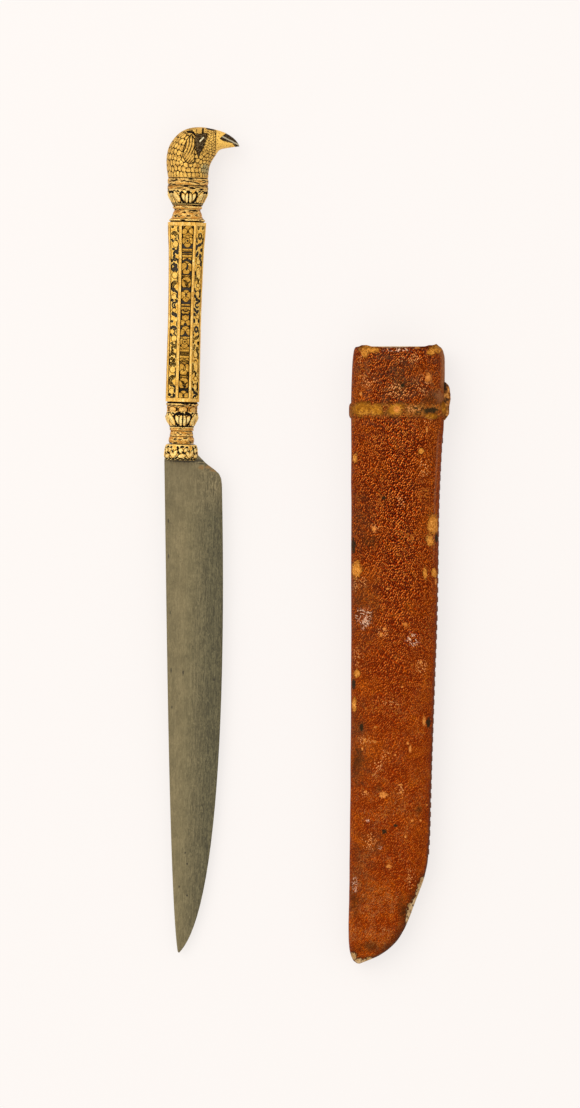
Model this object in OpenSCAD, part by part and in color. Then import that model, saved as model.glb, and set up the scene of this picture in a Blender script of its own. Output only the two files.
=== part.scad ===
// A single-edged knife with a gilt bird-headed handle, lying beside its leather sheath.
// Both lie flat: X runs across the two, Y up along the handle, Z up from the table.
// The knife's own frame starts on the handle's axis at the line of the blade's shoulder.
// The sheath's own frame starts at its mouth on its back edge, and depth runs down from there.

/* [Blade] */
// Length from the shoulder line to the point
blade_len = 179.4; // [150:0.2:210]
// Width at the heel of the edge
blade_w = 21.2; // [18:0.2:25]
// Thickness along the back, at the shoulder
blade_t = 3; // [2.4:0.1:3.6]
// Thickness along the back, at the point
point_t = 1.2; // [0.8:0.1:1.8]
// Width of the ground bevel along the edge
bevel_w = 1.2; // [0.6:0.1:2]
// Fall of the shoulder from its line to the heel of the edge
shoulder_fall = 8.6; // [6:0.2:11]
// How far the blade's root sits inside the bolster
root_seat = 2.6; // [2:0.1:3.4]
// Length of the tang above the shoulder line
tang_len = 96; // [80:1:99]
// Width of the tang
tang_w = 4.4; // [3.6:0.1:4.8]
// Thickness of the tang
tang_t = 2.2; // [1.6:0.1:2.6]

/* [Handle] */
// Radius of the bolster
bolster_r = 6; // [5.6:0.05:6.8]
// Height of the bolster
bolster_h = 6; // [5.4:0.1:7.5]
// Radius of the waist above the bolster
lower_neck_r = 4.6; // [4.2:0.1:5.2]
// Height of the lower neck ring
lower_neck_h = 5.6; // [4.6:0.1:7]
// Radius of the lower lotus collar
lower_collar_r = 5.9; // [5.6:0.1:6.6]
// Height of the lower lotus collar
lower_collar_h = 6; // [5:0.1:7]
// Height of the band under the grip
lower_band_h = 3.6; // [3.2:0.1:4.6]
// Length of the eight-sided grip
grip_len = 65.2; // [50:0.2:80]
// Distance from axis to face at the grip's lower end
grip_low = 6; // [5.6:0.05:6.3]
// Distance from axis to face at the grip's waist
grip_waist = 5.9; // [5.5:0.05:6.2]
// Distance from axis to face at the grip's flared upper end
grip_top = 6.85; // [6.3:0.05:7.1]
// Turn of the grip's faces about the handle's axis, in degrees
grip_turn = 4; // [0:1:8]
// Width of the ribs left between the panels
rib_w = 1.1; // [0.8:0.1:1.6]
// Height of the border left above and below the panels
border_h = 1.3; // [1:0.1:2.5]
// Depth of the panels
panel_depth = 0.55; // [0.4:0.05:0.8]
// Thickness of the black ground in each panel
ground_t = 0.25; // [0.15:0.05:0.35]
// Height of the band above the grip
upper_band_h = 3.3; // [3:0.1:4.2]
// Radius of the waist above that band
upper_neck_r = 4.75; // [4.3:0.05:5.2]
// Height of the upper neck ring
upper_neck_h = 3.2; // [2.9:0.1:4.2]
// Height of the upper lotus collar
upper_collar_h = 5; // [4:0.1:6.5]
// Radius of the pommel ring
pommel_r = 7.45; // [7.2:0.05:8]
// Height of the pommel ring
pommel_h = 4.8; // [4.2:0.1:6]
// Radius of the bore through the rings of the handle
bore_r = 2.75; // [2.65:0.05:3]
// Radius of the bore through the grip
grip_bore_r = 4.3; // [3.6:0.1:4.5]
// Clearance of a piece in its seat
fit = 0.05; // [0.03:0.01:0.08]

/* [Bird head] */
// Height of the head above the pommel ring
head_h = 18.6; // [15:0.2:22]
// Half of the depth left between the two eye inlays
eye_core = 2.6; // [2:0.1:3]
// Half of the depth left between the two eye slits
slit_core = 3.4; // [3.2:0.1:3.8]
// Width of the eye slits
slit_w = 0.5; // [0.3:0.05:0.8]

/* [Sheath] */
// Depth of the blade's shoulder below the mouth when the knife is home
handle_sunk = 41.1; // [34:0.5:50]
// Length of the sheath below the blade's point
tip_room = 3.8; // [3.6:0.1:6]
// From the sheath's back edge to the blade's back
back_wall = 4.5; // [4.1:0.1:5.5]
// From the blade's heel to the sheath's front edge
edge_wall = 8.1; // [7.2:0.1:9.5]
// Height of the handle's axis above the table at the mouth
mouth_mid = 9.2; // [9:0.1:10]
// Clearance between the core and the leather
skin_gap = 0.08; // [0.05:0.01:0.12]
// Depth of the flat worn along the back
flat_sink = 0.4; // [0.2:0.1:0.8]
// Thickness of the leather
leather_t = 1; // [0.7:0.1:1.1]
// Thickness of the lining in the mouth
lining_t = 0.4; // [0.3:0.05:0.5]
// Depth that the lining reaches into the mouth
lining_h = 20; // [10:1:30]
// Clearance round the handle in the socket
socket_gap = 0.35; // [0.2:0.05:0.5]
// Clearance beyond the blade's back and edge in the slot
slot_gap = 0.8; // [0.5:0.1:1.2]
// Clearance above and below the blade in the slot
slot_rise = 1.4; // [1:0.1:1.6]
// Depth of the raised collar's middle below the mouth
collar_at = 23.2; // [16:0.2:32]
// Width of the raised collar
collar_w = 5.6; // [4:0.2:8]
// How far the collar stands proud
collar_proud = 0.8; // [0.6:0.1:1.1]
// Width of the strap stub, back to front
strap_w = 6; // [4:0.5:8]
// Distance from one seam stitch to the next
stitch_pitch = 3.4; // [2.8:0.2:5]
// Length of a seam stitch
stitch_len = 2; // [1.4:0.1:2.4]
// Radius of the seam thread
thread_r = 0.26; // [0.2:0.02:0.35]

/* [Layout] */
// Distance from the knife's axis to the sheath's back edge
lay_pitch = 61.8; // [45:0.1:80]
// Lean of the knife to the right, in degrees
knife_lean = 1.5; // [0:0.5:3]

/* [Hidden] */
$fn = 64;
past = 1;

// Where each piece of the handle starts along its axis
neck_y = bolster_h;
lower_collar_y = neck_y + lower_neck_h;
lower_band_y = lower_collar_y + lower_collar_h;
grip_y = lower_band_y + lower_band_h;
upper_band_y = grip_y + grip_len;
upper_neck_y = upper_band_y + upper_band_h;
upper_collar_y = upper_neck_y + upper_neck_h;
pommel_y = upper_collar_y + upper_collar_h;
head_y = pommel_y + pommel_h;

// The knife lies on its pommel ring and its bolster, so the handle rises a little
bolster_rest_y = bolster_h / 2;
pommel_rest_y = pommel_y + pommel_h / 2;
lie = atan((pommel_r - bolster_r) / (pommel_rest_y - bolster_rest_y));
knife_z = bolster_r * cos(lie) - bolster_rest_y * sin(lie);

// Smooth curve through a list of [station, value] points
function span_of(points, s, i = 0) =
    (i >= len(points) - 2 || s < points[i + 1][0]) ? i : span_of(points, s, i + 1);
function slope_of(points, i) =
    let (a = max(i - 1, 0), b = min(i + 1, len(points) - 1))
    (points[b][1] - points[a][1]) / (points[b][0] - points[a][0]);
function smooth(points, s) =
    let (
        i = span_of(points, s),
        h = points[i + 1][0] - points[i][0],
        t = (s - points[i][0]) / h
    )
    (1 + 2 * t) * pow(1 - t, 2) * points[i][1]
    + t * pow(1 - t, 2) * h * slope_of(points, i)
    + t * t * (3 - 2 * t) * points[i + 1][1]
    + t * t * (t - 1) * h * slope_of(points, i + 1);

// Cubic curve from the first of four points to the last
function cubic(p, t) =
    pow(1 - t, 3) * p[0] + 3 * t * pow(1 - t, 2) * p[1]
    + 3 * t * t * (1 - t) * p[2] + pow(t, 3) * p[3];

// Quadrant sense for the rounded oval rings
function signed_power(v, e) = sign(v) * pow(abs(v), e);
// Point on a squarish oval with half sizes a and b, at an angle
function oval(a, b, power, angle) = [
    a * signed_power(cos(angle), 2 / power),
    b * signed_power(sin(angle), 2 / power)
];

// Skin over a list of rings that have the same number of points
module loft(rings, endless = false) {
    n = len(rings[0]);
    m = len(rings);
    last = endless ? m - 1 : m - 2;
    walls = [
        for (i = [0 : last], j = [0 : n - 1])
        let (
            a = i * n + j,
            b = i * n + (j + 1) % n,
            c = ((i + 1) % m) * n + j,
            d = ((i + 1) % m) * n + (j + 1) % n
        )
        each [[a, d, b], [a, c, d]]
    ];
    caps = endless ? [] : [
        [for (j = [0 : n - 1]) j],
        [for (j = [n - 1 : -1 : 0]) (m - 1) * n + j]
    ];
    polyhedron(points = [for (r = rings) each r], faces = concat(walls, caps), convexity = 8);
}

// Blade outline: back and edge are cubics that meet at the point
back_x = -bolster_r;
heel = [back_x + blade_w, -shoulder_fall];
point_x = back_x + 0.46 * blade_w;
back_curve = [
    [back_x, 0],
    [back_x + 0.1 * blade_w, -0.29 * blade_len],
    [back_x + 0.275 * blade_w, -0.88 * blade_len],
    [point_x - 0.25, -blade_len + 0.45]
];
edge_curve = [
    heel,
    [heel.x + 0.03 * blade_w, -0.13 * blade_len],
    [heel.x + 0.36 * blade_w, -0.89 * blade_len],
    [point_x + 0.25, -blade_len]
];
// The shoulder slopes from the bolster to a rounded corner above the heel
shoulder = [
    [bolster_r - 0.4, root_seat, 0.95],
    [heel.x - 6.1, heel.y + 7.75, 0.75],
    [heel.x - 2.6, heel.y + 5.25, 0.5],
    [heel.x - 1.1, heel.y + 3.9, 0.35],
    [heel.x - 0.35, heel.y + 2.2, 0.22]
];
shoulder_share = 0.02;
edge_half = 0.12;
blade_steps = 30;

// Ring across the blade from a point on its back to one on its edge
function blade_ring(back, edge, back_half, fine_half) =
    let (
        w = norm(edge - back),
        dir = (edge - back) / w,
        lip = min(0.5, 0.25 * w),
        bevel = min(bevel_w, 0.3 * w),
        bevel_half = fine_half + (back_half - fine_half) * 0.12,
        half = [
            [w, fine_half], [w - bevel, bevel_half], [lip, back_half], [0, back_half * 0.72]
        ]
    )
    concat(
        [for (h = half) [back.x + dir.x * h[0], back.y + dir.y * h[0], h[1]]],
        [for (i = [3 : -1 : 0]) [
            back.x + dir.x * half[i][0], back.y + dir.y * half[i][0], -half[i][1]
        ]]
    );
function back_half_at(t) = (blade_t + (point_t - blade_t) * t) / 2;

module blade_body() {
    root = [for (i = [0 : len(shoulder) - 1])
        let (
            t = shoulder_share * (i - 1) / (len(shoulder) - 1),
            back = i == 0 ? [back_x + 0.6, root_seat] : cubic(back_curve, t),
            fine = shoulder[i].z * blade_t / 2
        )
        blade_ring(back, [shoulder[i].x, shoulder[i].y], blade_t / 2, fine)
    ];
    run = [for (k = [0 : blade_steps])
        let (
            s = 1 - pow(1 - k / blade_steps, 1.25),
            t = shoulder_share + (1 - shoulder_share) * s
        )
        blade_ring(cubic(back_curve, t), cubic(edge_curve, s), back_half_at(t), edge_half)
    ];
    loft(concat(root, run));
}

// Turned piece on the handle's axis from its outer profile of [radius, height]
module turned(y, profile, bore) {
    top = profile[len(profile) - 1][1];
    translate([0, y, 0])
        rotate([-90, 0, 0])
            rotate_extrude()
                polygon(concat([[bore, 0]], profile, [[bore, top]]));
}

// Profile that swells from one radius to another, fuller towards the top
function swell(r0, r1, h0, h1, steps = 6) = [
    for (i = [0 : steps])
    let (s = i / steps)
    [r0 + (r1 - r0) * (0.35 * s + 0.65 * (0.5 - 0.5 * cos(180 * s))), h0 + (h1 - h0) * s]
];
// Half-round bead between two heights
function bead(r, proud, h0, h1, steps = 6) = [
    for (i = [0 : steps])
    let (a = 180 * i / steps)
    [r + proud * sin(a), (h0 + h1) / 2 - (h1 - h0) / 2 * cos(a)]
];

module place_knife() {
    translate([knife_x, knife_y, knife_z])
        rotate([0, 0, -knife_lean])
            rotate([lie, 0, 0])
                children();
}

module blade() {
    color("#7d7763")
        place_knife()
            union() {
                blade_body();
                translate([-tang_w / 2, 0, -tang_t / 2])
                    cube([tang_w, tang_len, tang_t]);
            }
}

module bolster() {
    color("goldenrod")
        place_knife()
            difference() {
                turned(0, concat(
                    [[bolster_r - 0.5, 0], [bolster_r - 0.12, 0.35], [bolster_r, 1.4],
                    [bolster_r, bolster_h - 2.2]],
                    [for (a = [30, 55, 75]) [
                        lower_neck_r + 0.25 + (bolster_r - lower_neck_r - 0.25) * cos(a),
                        bolster_h - 2.2 + 2.2 * sin(a)
                    ]],
                    [[lower_neck_r + 0.1, bolster_h]]
                ), bore_r);
                translate([-bolster_r - past, -past, -blade_t / 2 - fit])
                    cube([2 * (bolster_r + past), root_seat + fit + past, blade_t + 2 * fit]);
            }
}

module lower_neck_ring() {
    r = lower_neck_r;
    h = lower_neck_h;
    color("darkgoldenrod")
        place_knife()
            turned(neck_y, concat(
                [[r, 0]],
                bead(r - 0.2, 0.25, 0.3, h * 0.4),
                [[r - 0.4, h * 0.62], [r - 0.55, h * 0.8]],
                bead(r - 0.5, 0.3, h * 0.84, h)
            ), bore_r);
}

module lower_lotus_collar() {
    r = lower_collar_r;
    h = lower_collar_h;
    color("goldenrod")
        place_knife()
            turned(lower_collar_y, concat(
                [[lower_neck_r - 0.2, 0]],
                swell(lower_neck_r - 0.1, r, 0.3, h * 0.78, 8),
                [[r - 0.05, h * 0.86], [r - 0.2, h * 0.94], [r - 0.45, h]]
            ), bore_r);
}

module lower_grip_band() {
    r = lower_collar_r;
    h = lower_band_h;
    color("darkgoldenrod")
        place_knife()
            turned(lower_band_y, [
                [r - 0.5, 0], [r - 0.6, h * 0.17], [r - 0.5, h * 0.42], [r - 0.25, h * 0.6],
                [r, h * 0.68], [r, h * 0.86], [r - 0.35, h * 0.9], [r - 0.35, h]
            ], bore_r);
}

// Distance from axis to face at a height on the grip: a slight waist and a flare at the top
grip_shape = [
    [0, grip_low], [0.3, grip_waist + 0.05], [0.45, grip_waist], [0.65, grip_waist + 0.15],
    [0.85, grip_waist + 0.42], [0.95, grip_top - 0.1], [1, grip_top]
];
function grip_face(y) = smooth(grip_shape, (y - grip_y) / grip_len);
grip_steps = 14;
half_facet = 22.5;

module on_grip_faces() {
    for (i = [0 : 7])
        rotate([0, grip_turn + 45 * i, 0])
            children();
}

// Slab along one face between two depths below it, drawn on the face that looks along Z
module face_slab(deep, shallow, side, end) {
    high_y = grip_y + grip_len - end;
    run = grip_len - 2 * end;
    loft([for (k = [0 : grip_steps])
        let (
            y = high_y - run * k / grip_steps,
            w = grip_face(y) * tan(half_facet) - side,
            low = grip_face(y) - deep,
            high = grip_face(y) - shallow
        )
        [[w, y, low], [w, y, high], [-w, y, high], [-w, y, low]]
    ]);
}

module grip_sleeve() {
    color("goldenrod")
        place_knife()
            difference() {
                rotate([0, grip_turn, 0])
                    loft([for (k = [0 : grip_steps])
                        let (
                            y = grip_y + grip_len * (1 - k / grip_steps),
                            corner = grip_face(y) / cos(half_facet)
                        )
                        [for (i = [0 : 7])
                            let (a = half_facet + 45 * i)
                            [corner * cos(a), y, corner * sin(a)]
                        ]
                    ]);
                translate([0, grip_y - past, 0])
                    rotate([-90, 0, 0])
                        cylinder(h = grip_len + 2 * past, r = grip_bore_r);
                on_grip_faces()
                    face_slab(panel_depth, -past, rib_w / 2, border_h);
            }
}

module grip_panel_grounds() {
    color("#1c1815")
        place_knife()
            on_grip_faces()
                face_slab(panel_depth, panel_depth - ground_t, rib_w / 2, border_h);
}

module upper_grip_band() {
    r = upper_neck_r;
    h = upper_band_h;
    color("darkgoldenrod")
        place_knife()
            turned(upper_band_y, concat(
                [[r + 1.45, 0], [r + 1.45, h * 0.1], [r + 1.8, h * 0.14], [r + 1.8, h * 0.3]],
                [for (a = [20, 45, 70]) [
                    r + 0.55 + 1.2 * (1 - sin(a)), h * (1 - 0.65 * cos(a))
                ]],
                [[r + 0.5, h]]
            ), bore_r);
}

module upper_neck_ring() {
    r = upper_neck_r;
    h = upper_neck_h;
    color("darkgoldenrod")
        place_knife()
            turned(upper_neck_y, concat(
                [[r + 0.5, 0], [r + 0.15, h * 0.2], [r, h * 0.4]],
                bead(r + 0.15, 0.5, h * 0.52, h * 0.84),
                [[r + 0.75, h * 0.9], [r + 0.8, h]]
            ), bore_r);
}

module upper_lotus_collar() {
    h = upper_collar_h;
    color("goldenrod")
        place_knife()
            turned(upper_collar_y, concat(
                [[upper_neck_r + 0.9, 0]],
                swell(upper_neck_r + 1.05, pommel_r - 0.05, 0.25, h * 0.92, 8),
                [[pommel_r - 0.1, h]]
            ), bore_r);
}

module pommel_ring() {
    r = pommel_r - 0.25;
    h = pommel_h;
    color("darkgoldenrod")
        place_knife()
            turned(pommel_y, concat(
                bead(r, 0.25, 0, h * 0.46),
                bead(r, 0.25, h * 0.5, h * 0.92),
                [[r, h]]
            ), bore_r);
}

// The head is drawn for a ring of radius 7.45 and a height of 18.6.
// Each row is the crown's x and y, the throat's x and y, and half the thickness.
head_kx = pommel_r / 7.45;
head_ky = head_h / 18.6;
head_rows = [
    [-7.3, 0, 7.25, 0, 7.2],
    [-7.9, 3.8, 7.4, 2.9, 7],
    [-8, 7.3, 7.95, 5.2, 6.7],
    [-7.3, 10.9, 8.8, 6.9, 6.5],
    [-5.6, 14, 9.8, 8.5, 6.3],
    [-3, 16.6, 10.4, 9.5, 6],
    [0.4, 18.1, 11, 10.2, 5.4],
    [4.6, 18.5, 11.9, 10.7, 4.8],
    [9.2, 17.8, 13.1, 11, 3.9],
    [13, 16.7, 14.7, 11.3, 2.9],
    [16, 14.95, 16.5, 11.6, 1.7],
    [17.5, 13.4, 17.8, 11.8, 0.9],
    [18.2, 12.3, 18.3, 11.85, 0.3]
];
head_sides = 28;
head_steps = 24;
head_curve = [for (i = [0 : len(head_rows) - 1]) [i / (len(head_rows) - 1), head_rows[i]]];

function head_ring(s) =
    let (
        row = smooth(head_curve, s),
        crown = [row[0] * head_kx, row[1] * head_ky],
        throat = [row[2] * head_kx, row[3] * head_ky],
        mid = (crown + throat) / 2,
        reach = (throat - crown) / 2
    )
    [for (j = [0 : head_sides - 1])
        let (p = oval(1, row[4] * head_kx, 2.15, 360 * j / head_sides))
        [mid.x + reach.x * p.x, head_y + mid.y + reach.y * p.x, p.y]
    ];

module head_solid() {
    loft([for (k = [head_steps : -1 : 0]) head_ring(k / head_steps)]);
}

// Flat outline on the head, from its own points, as a prism between two heights
module head_prism(outline, low, high) {
    translate([0, head_y, low])
        linear_extrude(height = high - low)
            polygon([for (p = outline) [p.x * head_kx, p.y * head_ky]]);
}

eye_outline = [
    [2.25, 15.6], [4.4, 16], [6.5, 16.15], [6.6, 15], [5.5, 11.4], [4.3, 8.8],
    [3.55, 7.3], [2.8, 9.4], [2.4, 12.1]
];
slit_ends = [[3.85, 13], [5.35, 14.7]];
beak_outline = [
    [11.2, 14.35], [11.8, 15.1], [13.2, 16.3], [13.6, 18], [20, 15], [20, 11],
    [17.2, 11.2], [15.8, 12.9], [13.9, 13.3], [12.25, 13.7]
];
head_side = pommel_r + past;

module both_cheeks() {
    children();
    mirror([0, 0, 1])
        children();
}

module slit_prism() {
    run = [
        (slit_ends[1].x - slit_ends[0].x) * head_kx,
        (slit_ends[1].y - slit_ends[0].y) * head_ky
    ];
    translate([slit_ends[0].x * head_kx, head_y + slit_ends[0].y * head_ky, slit_core])
        rotate([0, 0, atan2(run.y, run.x)])
            translate([0, -slit_w / 2, 0])
                cube([norm(run), slit_w, head_side - slit_core]);
}

module bird_head() {
    color("goldenrod")
        place_knife()
            difference() {
                head_solid();
                both_cheeks()
                    head_prism(eye_outline, eye_core, head_side);
                head_prism(beak_outline, -head_side, head_side);
            }
}

module eye_inlays() {
    color("#3a362f")
        place_knife()
            both_cheeks()
                difference() {
                    intersection() {
                        head_solid();
                        head_prism(eye_outline, eye_core, head_side);
                    }
                    slit_prism();
                }
}

module eye_slits() {
    color("lightgoldenrodyellow")
        place_knife()
            both_cheeks()
                intersection() {
                    head_solid();
                    slit_prism();
                }
}

module beak_tip() {
    color("#2b2a26")
        place_knife()
            intersection() {
                head_solid();
                head_prism(beak_outline, -head_side, head_side);
            }
}

// Resin round the tang: slim in the rings, full in the grip
module lac_filling() {
    low_y = root_seat + 2 * fit;
    color("saddlebrown")
        place_knife()
            difference() {
                union() {
                    translate([0, low_y, 0])
                        rotate([-90, 0, 0])
                            cylinder(h = head_y - low_y, r = bore_r - fit);
                    translate([0, grip_y, 0])
                        rotate([-90, 0, 0])
                            cylinder(h = grip_len, r = grip_bore_r - fit);
                }
                translate([-tang_w / 2 - fit, low_y - past, -tang_t / 2 - fit])
                    cube([tang_w + 2 * fit, tang_len - low_y + past + fit, tang_t + 2 * fit]);
            }
}

// The knife when it is home in the sheath: its back stands upright along the back wall
home_turn = 3;
table_steps = 50;
function turned_home(p) = [
    p.x * cos(home_turn) + p.y * sin(home_turn),
    p.y * cos(home_turn) - p.x * sin(home_turn)
];
home_x = back_wall
    - min([for (k = [0 : table_steps]) turned_home(cubic(back_curve, k / table_steps)).x]);
function home(p) = [home_x, -handle_sunk] + turned_home(p);
home_back = [for (k = [0 : table_steps]) home(cubic(back_curve, k / table_steps))];
home_edge = [for (k = [table_steps : -1 : 0])
    let (p = home(cubic(edge_curve, k / table_steps)))
    [p.y, p.x]
];
heel_clear = 0.9;
heel_depth = handle_sunk + shoulder_fall + heel_clear;

// Sheath outline, as stations of [depth, place across] down its back and its front edge
sheath_len = handle_sunk + blade_len + tip_room;
sheath_w = back_wall + blade_w + edge_wall;
back_line = [
    [0, 1.8], [0.5, 1.4], [1.4, 1.1], [4, 0.7], [10, 0.35], [17, 0.05], [40, 0.1], [110, 0.1],
    [150, -0.1], [183, -0.4], [205, -0.7], [215, -0.8], [219, -0.5], [221.6, 0.1],
    [223.2, 0.9], [224.3, 2.4]
];
front_line = [
    [0, 32.5], [0.5, 33], [1.4, 33.6], [4, 34.2], [10, 34.2], [30, 33.9], [36, 33.2],
    [45, 32.7], [60, 32.1], [95, 31.6], [125, 30.5], [154, 29.5], [178, 28.8], [188, 28],
    [194, 26.6], [201, 23.8], [207, 21.6], [212, 19.5], [216, 17], [219.3, 13.6],
    [221.6, 10.1], [223.2, 6.2], [224.3, 3.3]
];
fullness = [
    [0, 1], [190, 1], [207, 0.98], [215, 0.9], [219.3, 0.78], [222, 0.62], [223.6, 0.4],
    [224.3, 0.18]
];
// The outline is drawn as long as its last station, and as wide as it is below the collar
drawn_len = front_line[len(front_line) - 1].x;
drawn_w = front_line[5].y - back_line[6].y;
function drawn(d) = d * drawn_len / sheath_len;
function back_at(d) = smooth(back_line, drawn(d)) * sheath_w / drawn_w;
function front_at(d) = smooth(front_line, drawn(d)) * sheath_w / drawn_w;
// Height of the middle of the space inside, which follows the knife's own rise
function mid_at(d) = mouth_mid - d * tan(lie);
function half_at(d) = (mid_at(d) + flat_sink) * smooth(fullness, drawn(d));
// How far the collar lifts the leather at a depth
function lift_at(d) =
    let (s = abs(d - collar_at) / (collar_w / 2))
    s >= 1 ? 0 : collar_proud * sqrt(1 - pow(s, 4));
sheath_power = 2.7;

// Ring of the sheath's outside, drawn in by a skin and cut flat at the skin's height
function cover_point(d, in, lift, angle) =
    let (
        a = (front_at(d) - back_at(d)) / 2 - in + lift,
        b = half_at(d) - in + lift,
        p = oval(max(a, 0.25), max(b, 0.25), sheath_power, angle)
    )
    [(front_at(d) + back_at(d)) / 2 + p.x, -d, max(mid_at(d) + p.y, in)];
sheath_sides = 36;
function cover_ring(d, in, lift) = [
    for (j = [0 : sheath_sides - 1]) cover_point(d, in, lift, 360 * (j + 0.5) / sheath_sides)
];

// Space inside the core: a socket for the handle, a throat, and below it a slot for the blade
throat_drop = 1.2;
throat_h = 6.8;
point_clear = 1.6;
least_wood = 0.4;
least_slot = 0.5;
grip_swing = cos(half_facet - grip_turn) / cos(half_facet);
socket_half = max(grip_face(handle_sunk) * grip_swing, bolster_r) + socket_gap + lining_t;
socket_end = handle_sunk + throat_drop;
slot_start = socket_end + throat_h;
slot_half = blade_t / 2 + slot_rise;
cavity_end = sheath_len - tip_room + point_clear;
function cavity_half(d) =
    d <= socket_end ? socket_half
    : d <= slot_start ? slot_half + (socket_half - slot_half)
        * (0.5 + 0.5 * cos(180 * (d - socket_end) / throat_h))
    : d < cavity_end ? slot_half * pow(1 - pow(d / cavity_end, 60), 0.5)
    : 0;
function cavity_power(d) = d <= socket_end ? 3.2 : d >= slot_start ? 4 : 3.6;
function cavity_back(d) =
    min(concat(
        [home_back[table_steps].x],
        [for (p = home_back) if (-p.y >= d) p.x]
    )) - slot_gap;
function cavity_front(d) = lookup(-max(d, heel_depth), home_edge) + slot_gap;
// The slot's sides, kept inside the core where it closes
function cavity_span(d, skin) =
    let (
        low = back_at(d) + skin + least_wood,
        high = front_at(d) - skin - least_wood,
        a = min(max(cavity_back(d), low), high - least_slot)
    )
    [a, max(min(cavity_front(d), high), a + least_slot)];
function cavity_point(d, in, angle) =
    let (
        s = cavity_span(d, leather_t),
        p = oval((s[1] - s[0]) / 2 - in, cavity_half(d) - in, cavity_power(d), angle)
    )
    [(s[0] + s[1]) / 2 + p.x, -d, mid_at(d) + p.y];

cavity_sides = 28;
function cavity_ring(d, in) = [
    for (j = [0 : cavity_sides - 1]) cavity_point(d, in, 360 * (j + 0.5) / cavity_sides)
];
core_steps = 14;
// Ring round a part of the core from one angle to another, closed by a straight side
function core_ring(d, from, to) = [
    for (j = [0 : core_steps])
    cover_point(d, leather_t + skin_gap, 0, from + (to - from) * j / core_steps)
];
// The throat's two halves meet at the middle. Below it the slot is cut mostly in the bed,
// and the lid closes it along a seam that lies higher and comes down towards the tip.
bed_from = slot_start + 1;
seam_share = 0.7;
tip_seam_share = 0.55;
function core_half_at(d) = half_at(d) - leather_t - skin_gap;
function seam_angle(d) =
    let (rise = min(seam_share * slot_half, tip_seam_share * core_half_at(d)))
    asin(pow(rise / core_half_at(d), sheath_power / 2));
cavity_depths = concat(
    [-past, socket_end],
    [for (s = [0.25, 0.5, 0.75, 1]) socket_end + throat_h * s],
    [for (s = [0.15 : 0.15 : 0.75]) slot_start + (cavity_end - slot_start) * s],
    [for (r = [30, 20, 13, 8, 5, 3, 1.5, 0.6, 0.1]) cavity_end - r]
);
// Rings of the cover: the stations of its front edge, and closer ones over the collar
collar_lead = 1;
collar_from = collar_at - collar_w / 2 - collar_lead;
collar_to = collar_at + collar_w / 2;
station_depths = [for (p = front_line) p.x * sheath_len / drawn_len];
cover_depths = concat(
    [for (d = station_depths) if (d < collar_from - collar_lead) d],
    [collar_from],
    [for (s = [-1, -0.9, -0.6, 0, 0.6, 0.9, 1]) collar_at + s * collar_w / 2],
    [for (d = station_depths) if (d > collar_to + collar_lead) d]
);
inside_depths = [
    for (i = [len(cover_depths) - 1 : -1 : 0])
    if (cover_depths[i] <= sheath_len - leather_t) cover_depths[i]
];
core_depths = concat(
    [for (d = cover_depths)
        if (d < sheath_len - leather_t - skin_gap && lift_at(d) == 0) d],
    [sheath_len - leather_t - skin_gap]
);

module place_sheath() {
    translate([sheath_x, sheath_y, 0])
        children();
}

module sheath_leather() {
    inside = [for (d = inside_depths) cover_ring(d, leather_t, lift_at(d))];
    outside = [for (d = cover_depths) cover_ring(d, 0, lift_at(d))];
    color("#8a4518")
        place_sheath()
            loft(concat(inside, outside));
}

throat_depths = concat([for (d = core_depths) if (d < bed_from) d], [bed_from]);
bed_depths = concat([bed_from], [for (d = core_depths) if (d > bed_from) d]);

module hollow_core(rings) {
    difference() {
        loft(rings);
        loft([for (d = cavity_depths) cavity_ring(d, 0)]);
    }
}

module sheath_throat_front() {
    color("burlywood")
        place_sheath()
            hollow_core([for (d = throat_depths) core_ring(d, 0, 180)]);
}

module sheath_throat_back() {
    color("tan")
        place_sheath()
            hollow_core([for (d = throat_depths) core_ring(d, 180, 360)]);
}

module sheath_blade_bed() {
    color("tan")
        place_sheath()
            hollow_core([for (d = bed_depths)
                core_ring(d, 180 - seam_angle(d), 360 + seam_angle(d))
            ]);
}

module sheath_bed_lid() {
    color("burlywood")
        place_sheath()
            hollow_core([for (d = bed_depths)
                core_ring(d, seam_angle(d), 180 - seam_angle(d))
            ]);
}

// Strip that raises the collar under the leather, open along the flat back
collar_open = 52;
collar_steps = 28;
function collar_depth(s) = collar_at + s * collar_w / 2;
// Section across the strip at an angle: its crowned outside, then its flat inside
function collar_section(angle) = concat(
    [for (s = [0.85, 0.6, 0, -0.6, -0.85])
        let (d = collar_depth(s))
        cover_point(d, leather_t + skin_gap, lift_at(d), angle)],
    [for (s = [-0.85, 0.85]) cover_point(collar_depth(s), leather_t, 0, angle)]
);

module sheath_collar_ring() {
    from = collar_open - 90;
    to = 270 - collar_open;
    color("#a5804f")
        place_sheath()
            loft([for (j = [0 : collar_steps])
                collar_section(from + (to - from) * j / collar_steps)
            ]);
}

module socket_lining() {
    depths = [0, lining_h / 2, lining_h];
    color("firebrick")
        place_sheath()
            loft(concat(
                [for (d = depths) cavity_ring(d, 0)],
                [for (i = [2 : -1 : 0]) cavity_ring(depths[i], lining_t)]
            ), endless = true);
}

// Stitches that close the leather along the front edge of the sheath
seam_below_collar = 8;
seam_above_tip = 38;
module seam_stitches() {
    first = collar_at + collar_w / 2 + seam_below_collar;
    last = sheath_len - seam_above_tip;
    color("#5a3a22")
        place_sheath()
            for (i = [0 : floor((last - first) / stitch_pitch)])
                let (d = first + i * stitch_pitch)
                translate([front_at(d) - thread_r / 2, -d - stitch_len / 2, mid_at(d)])
                    rotate([-90, 0, 0])
                        cylinder(h = stitch_len, r = thread_r, $fn = 16);
}

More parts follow.
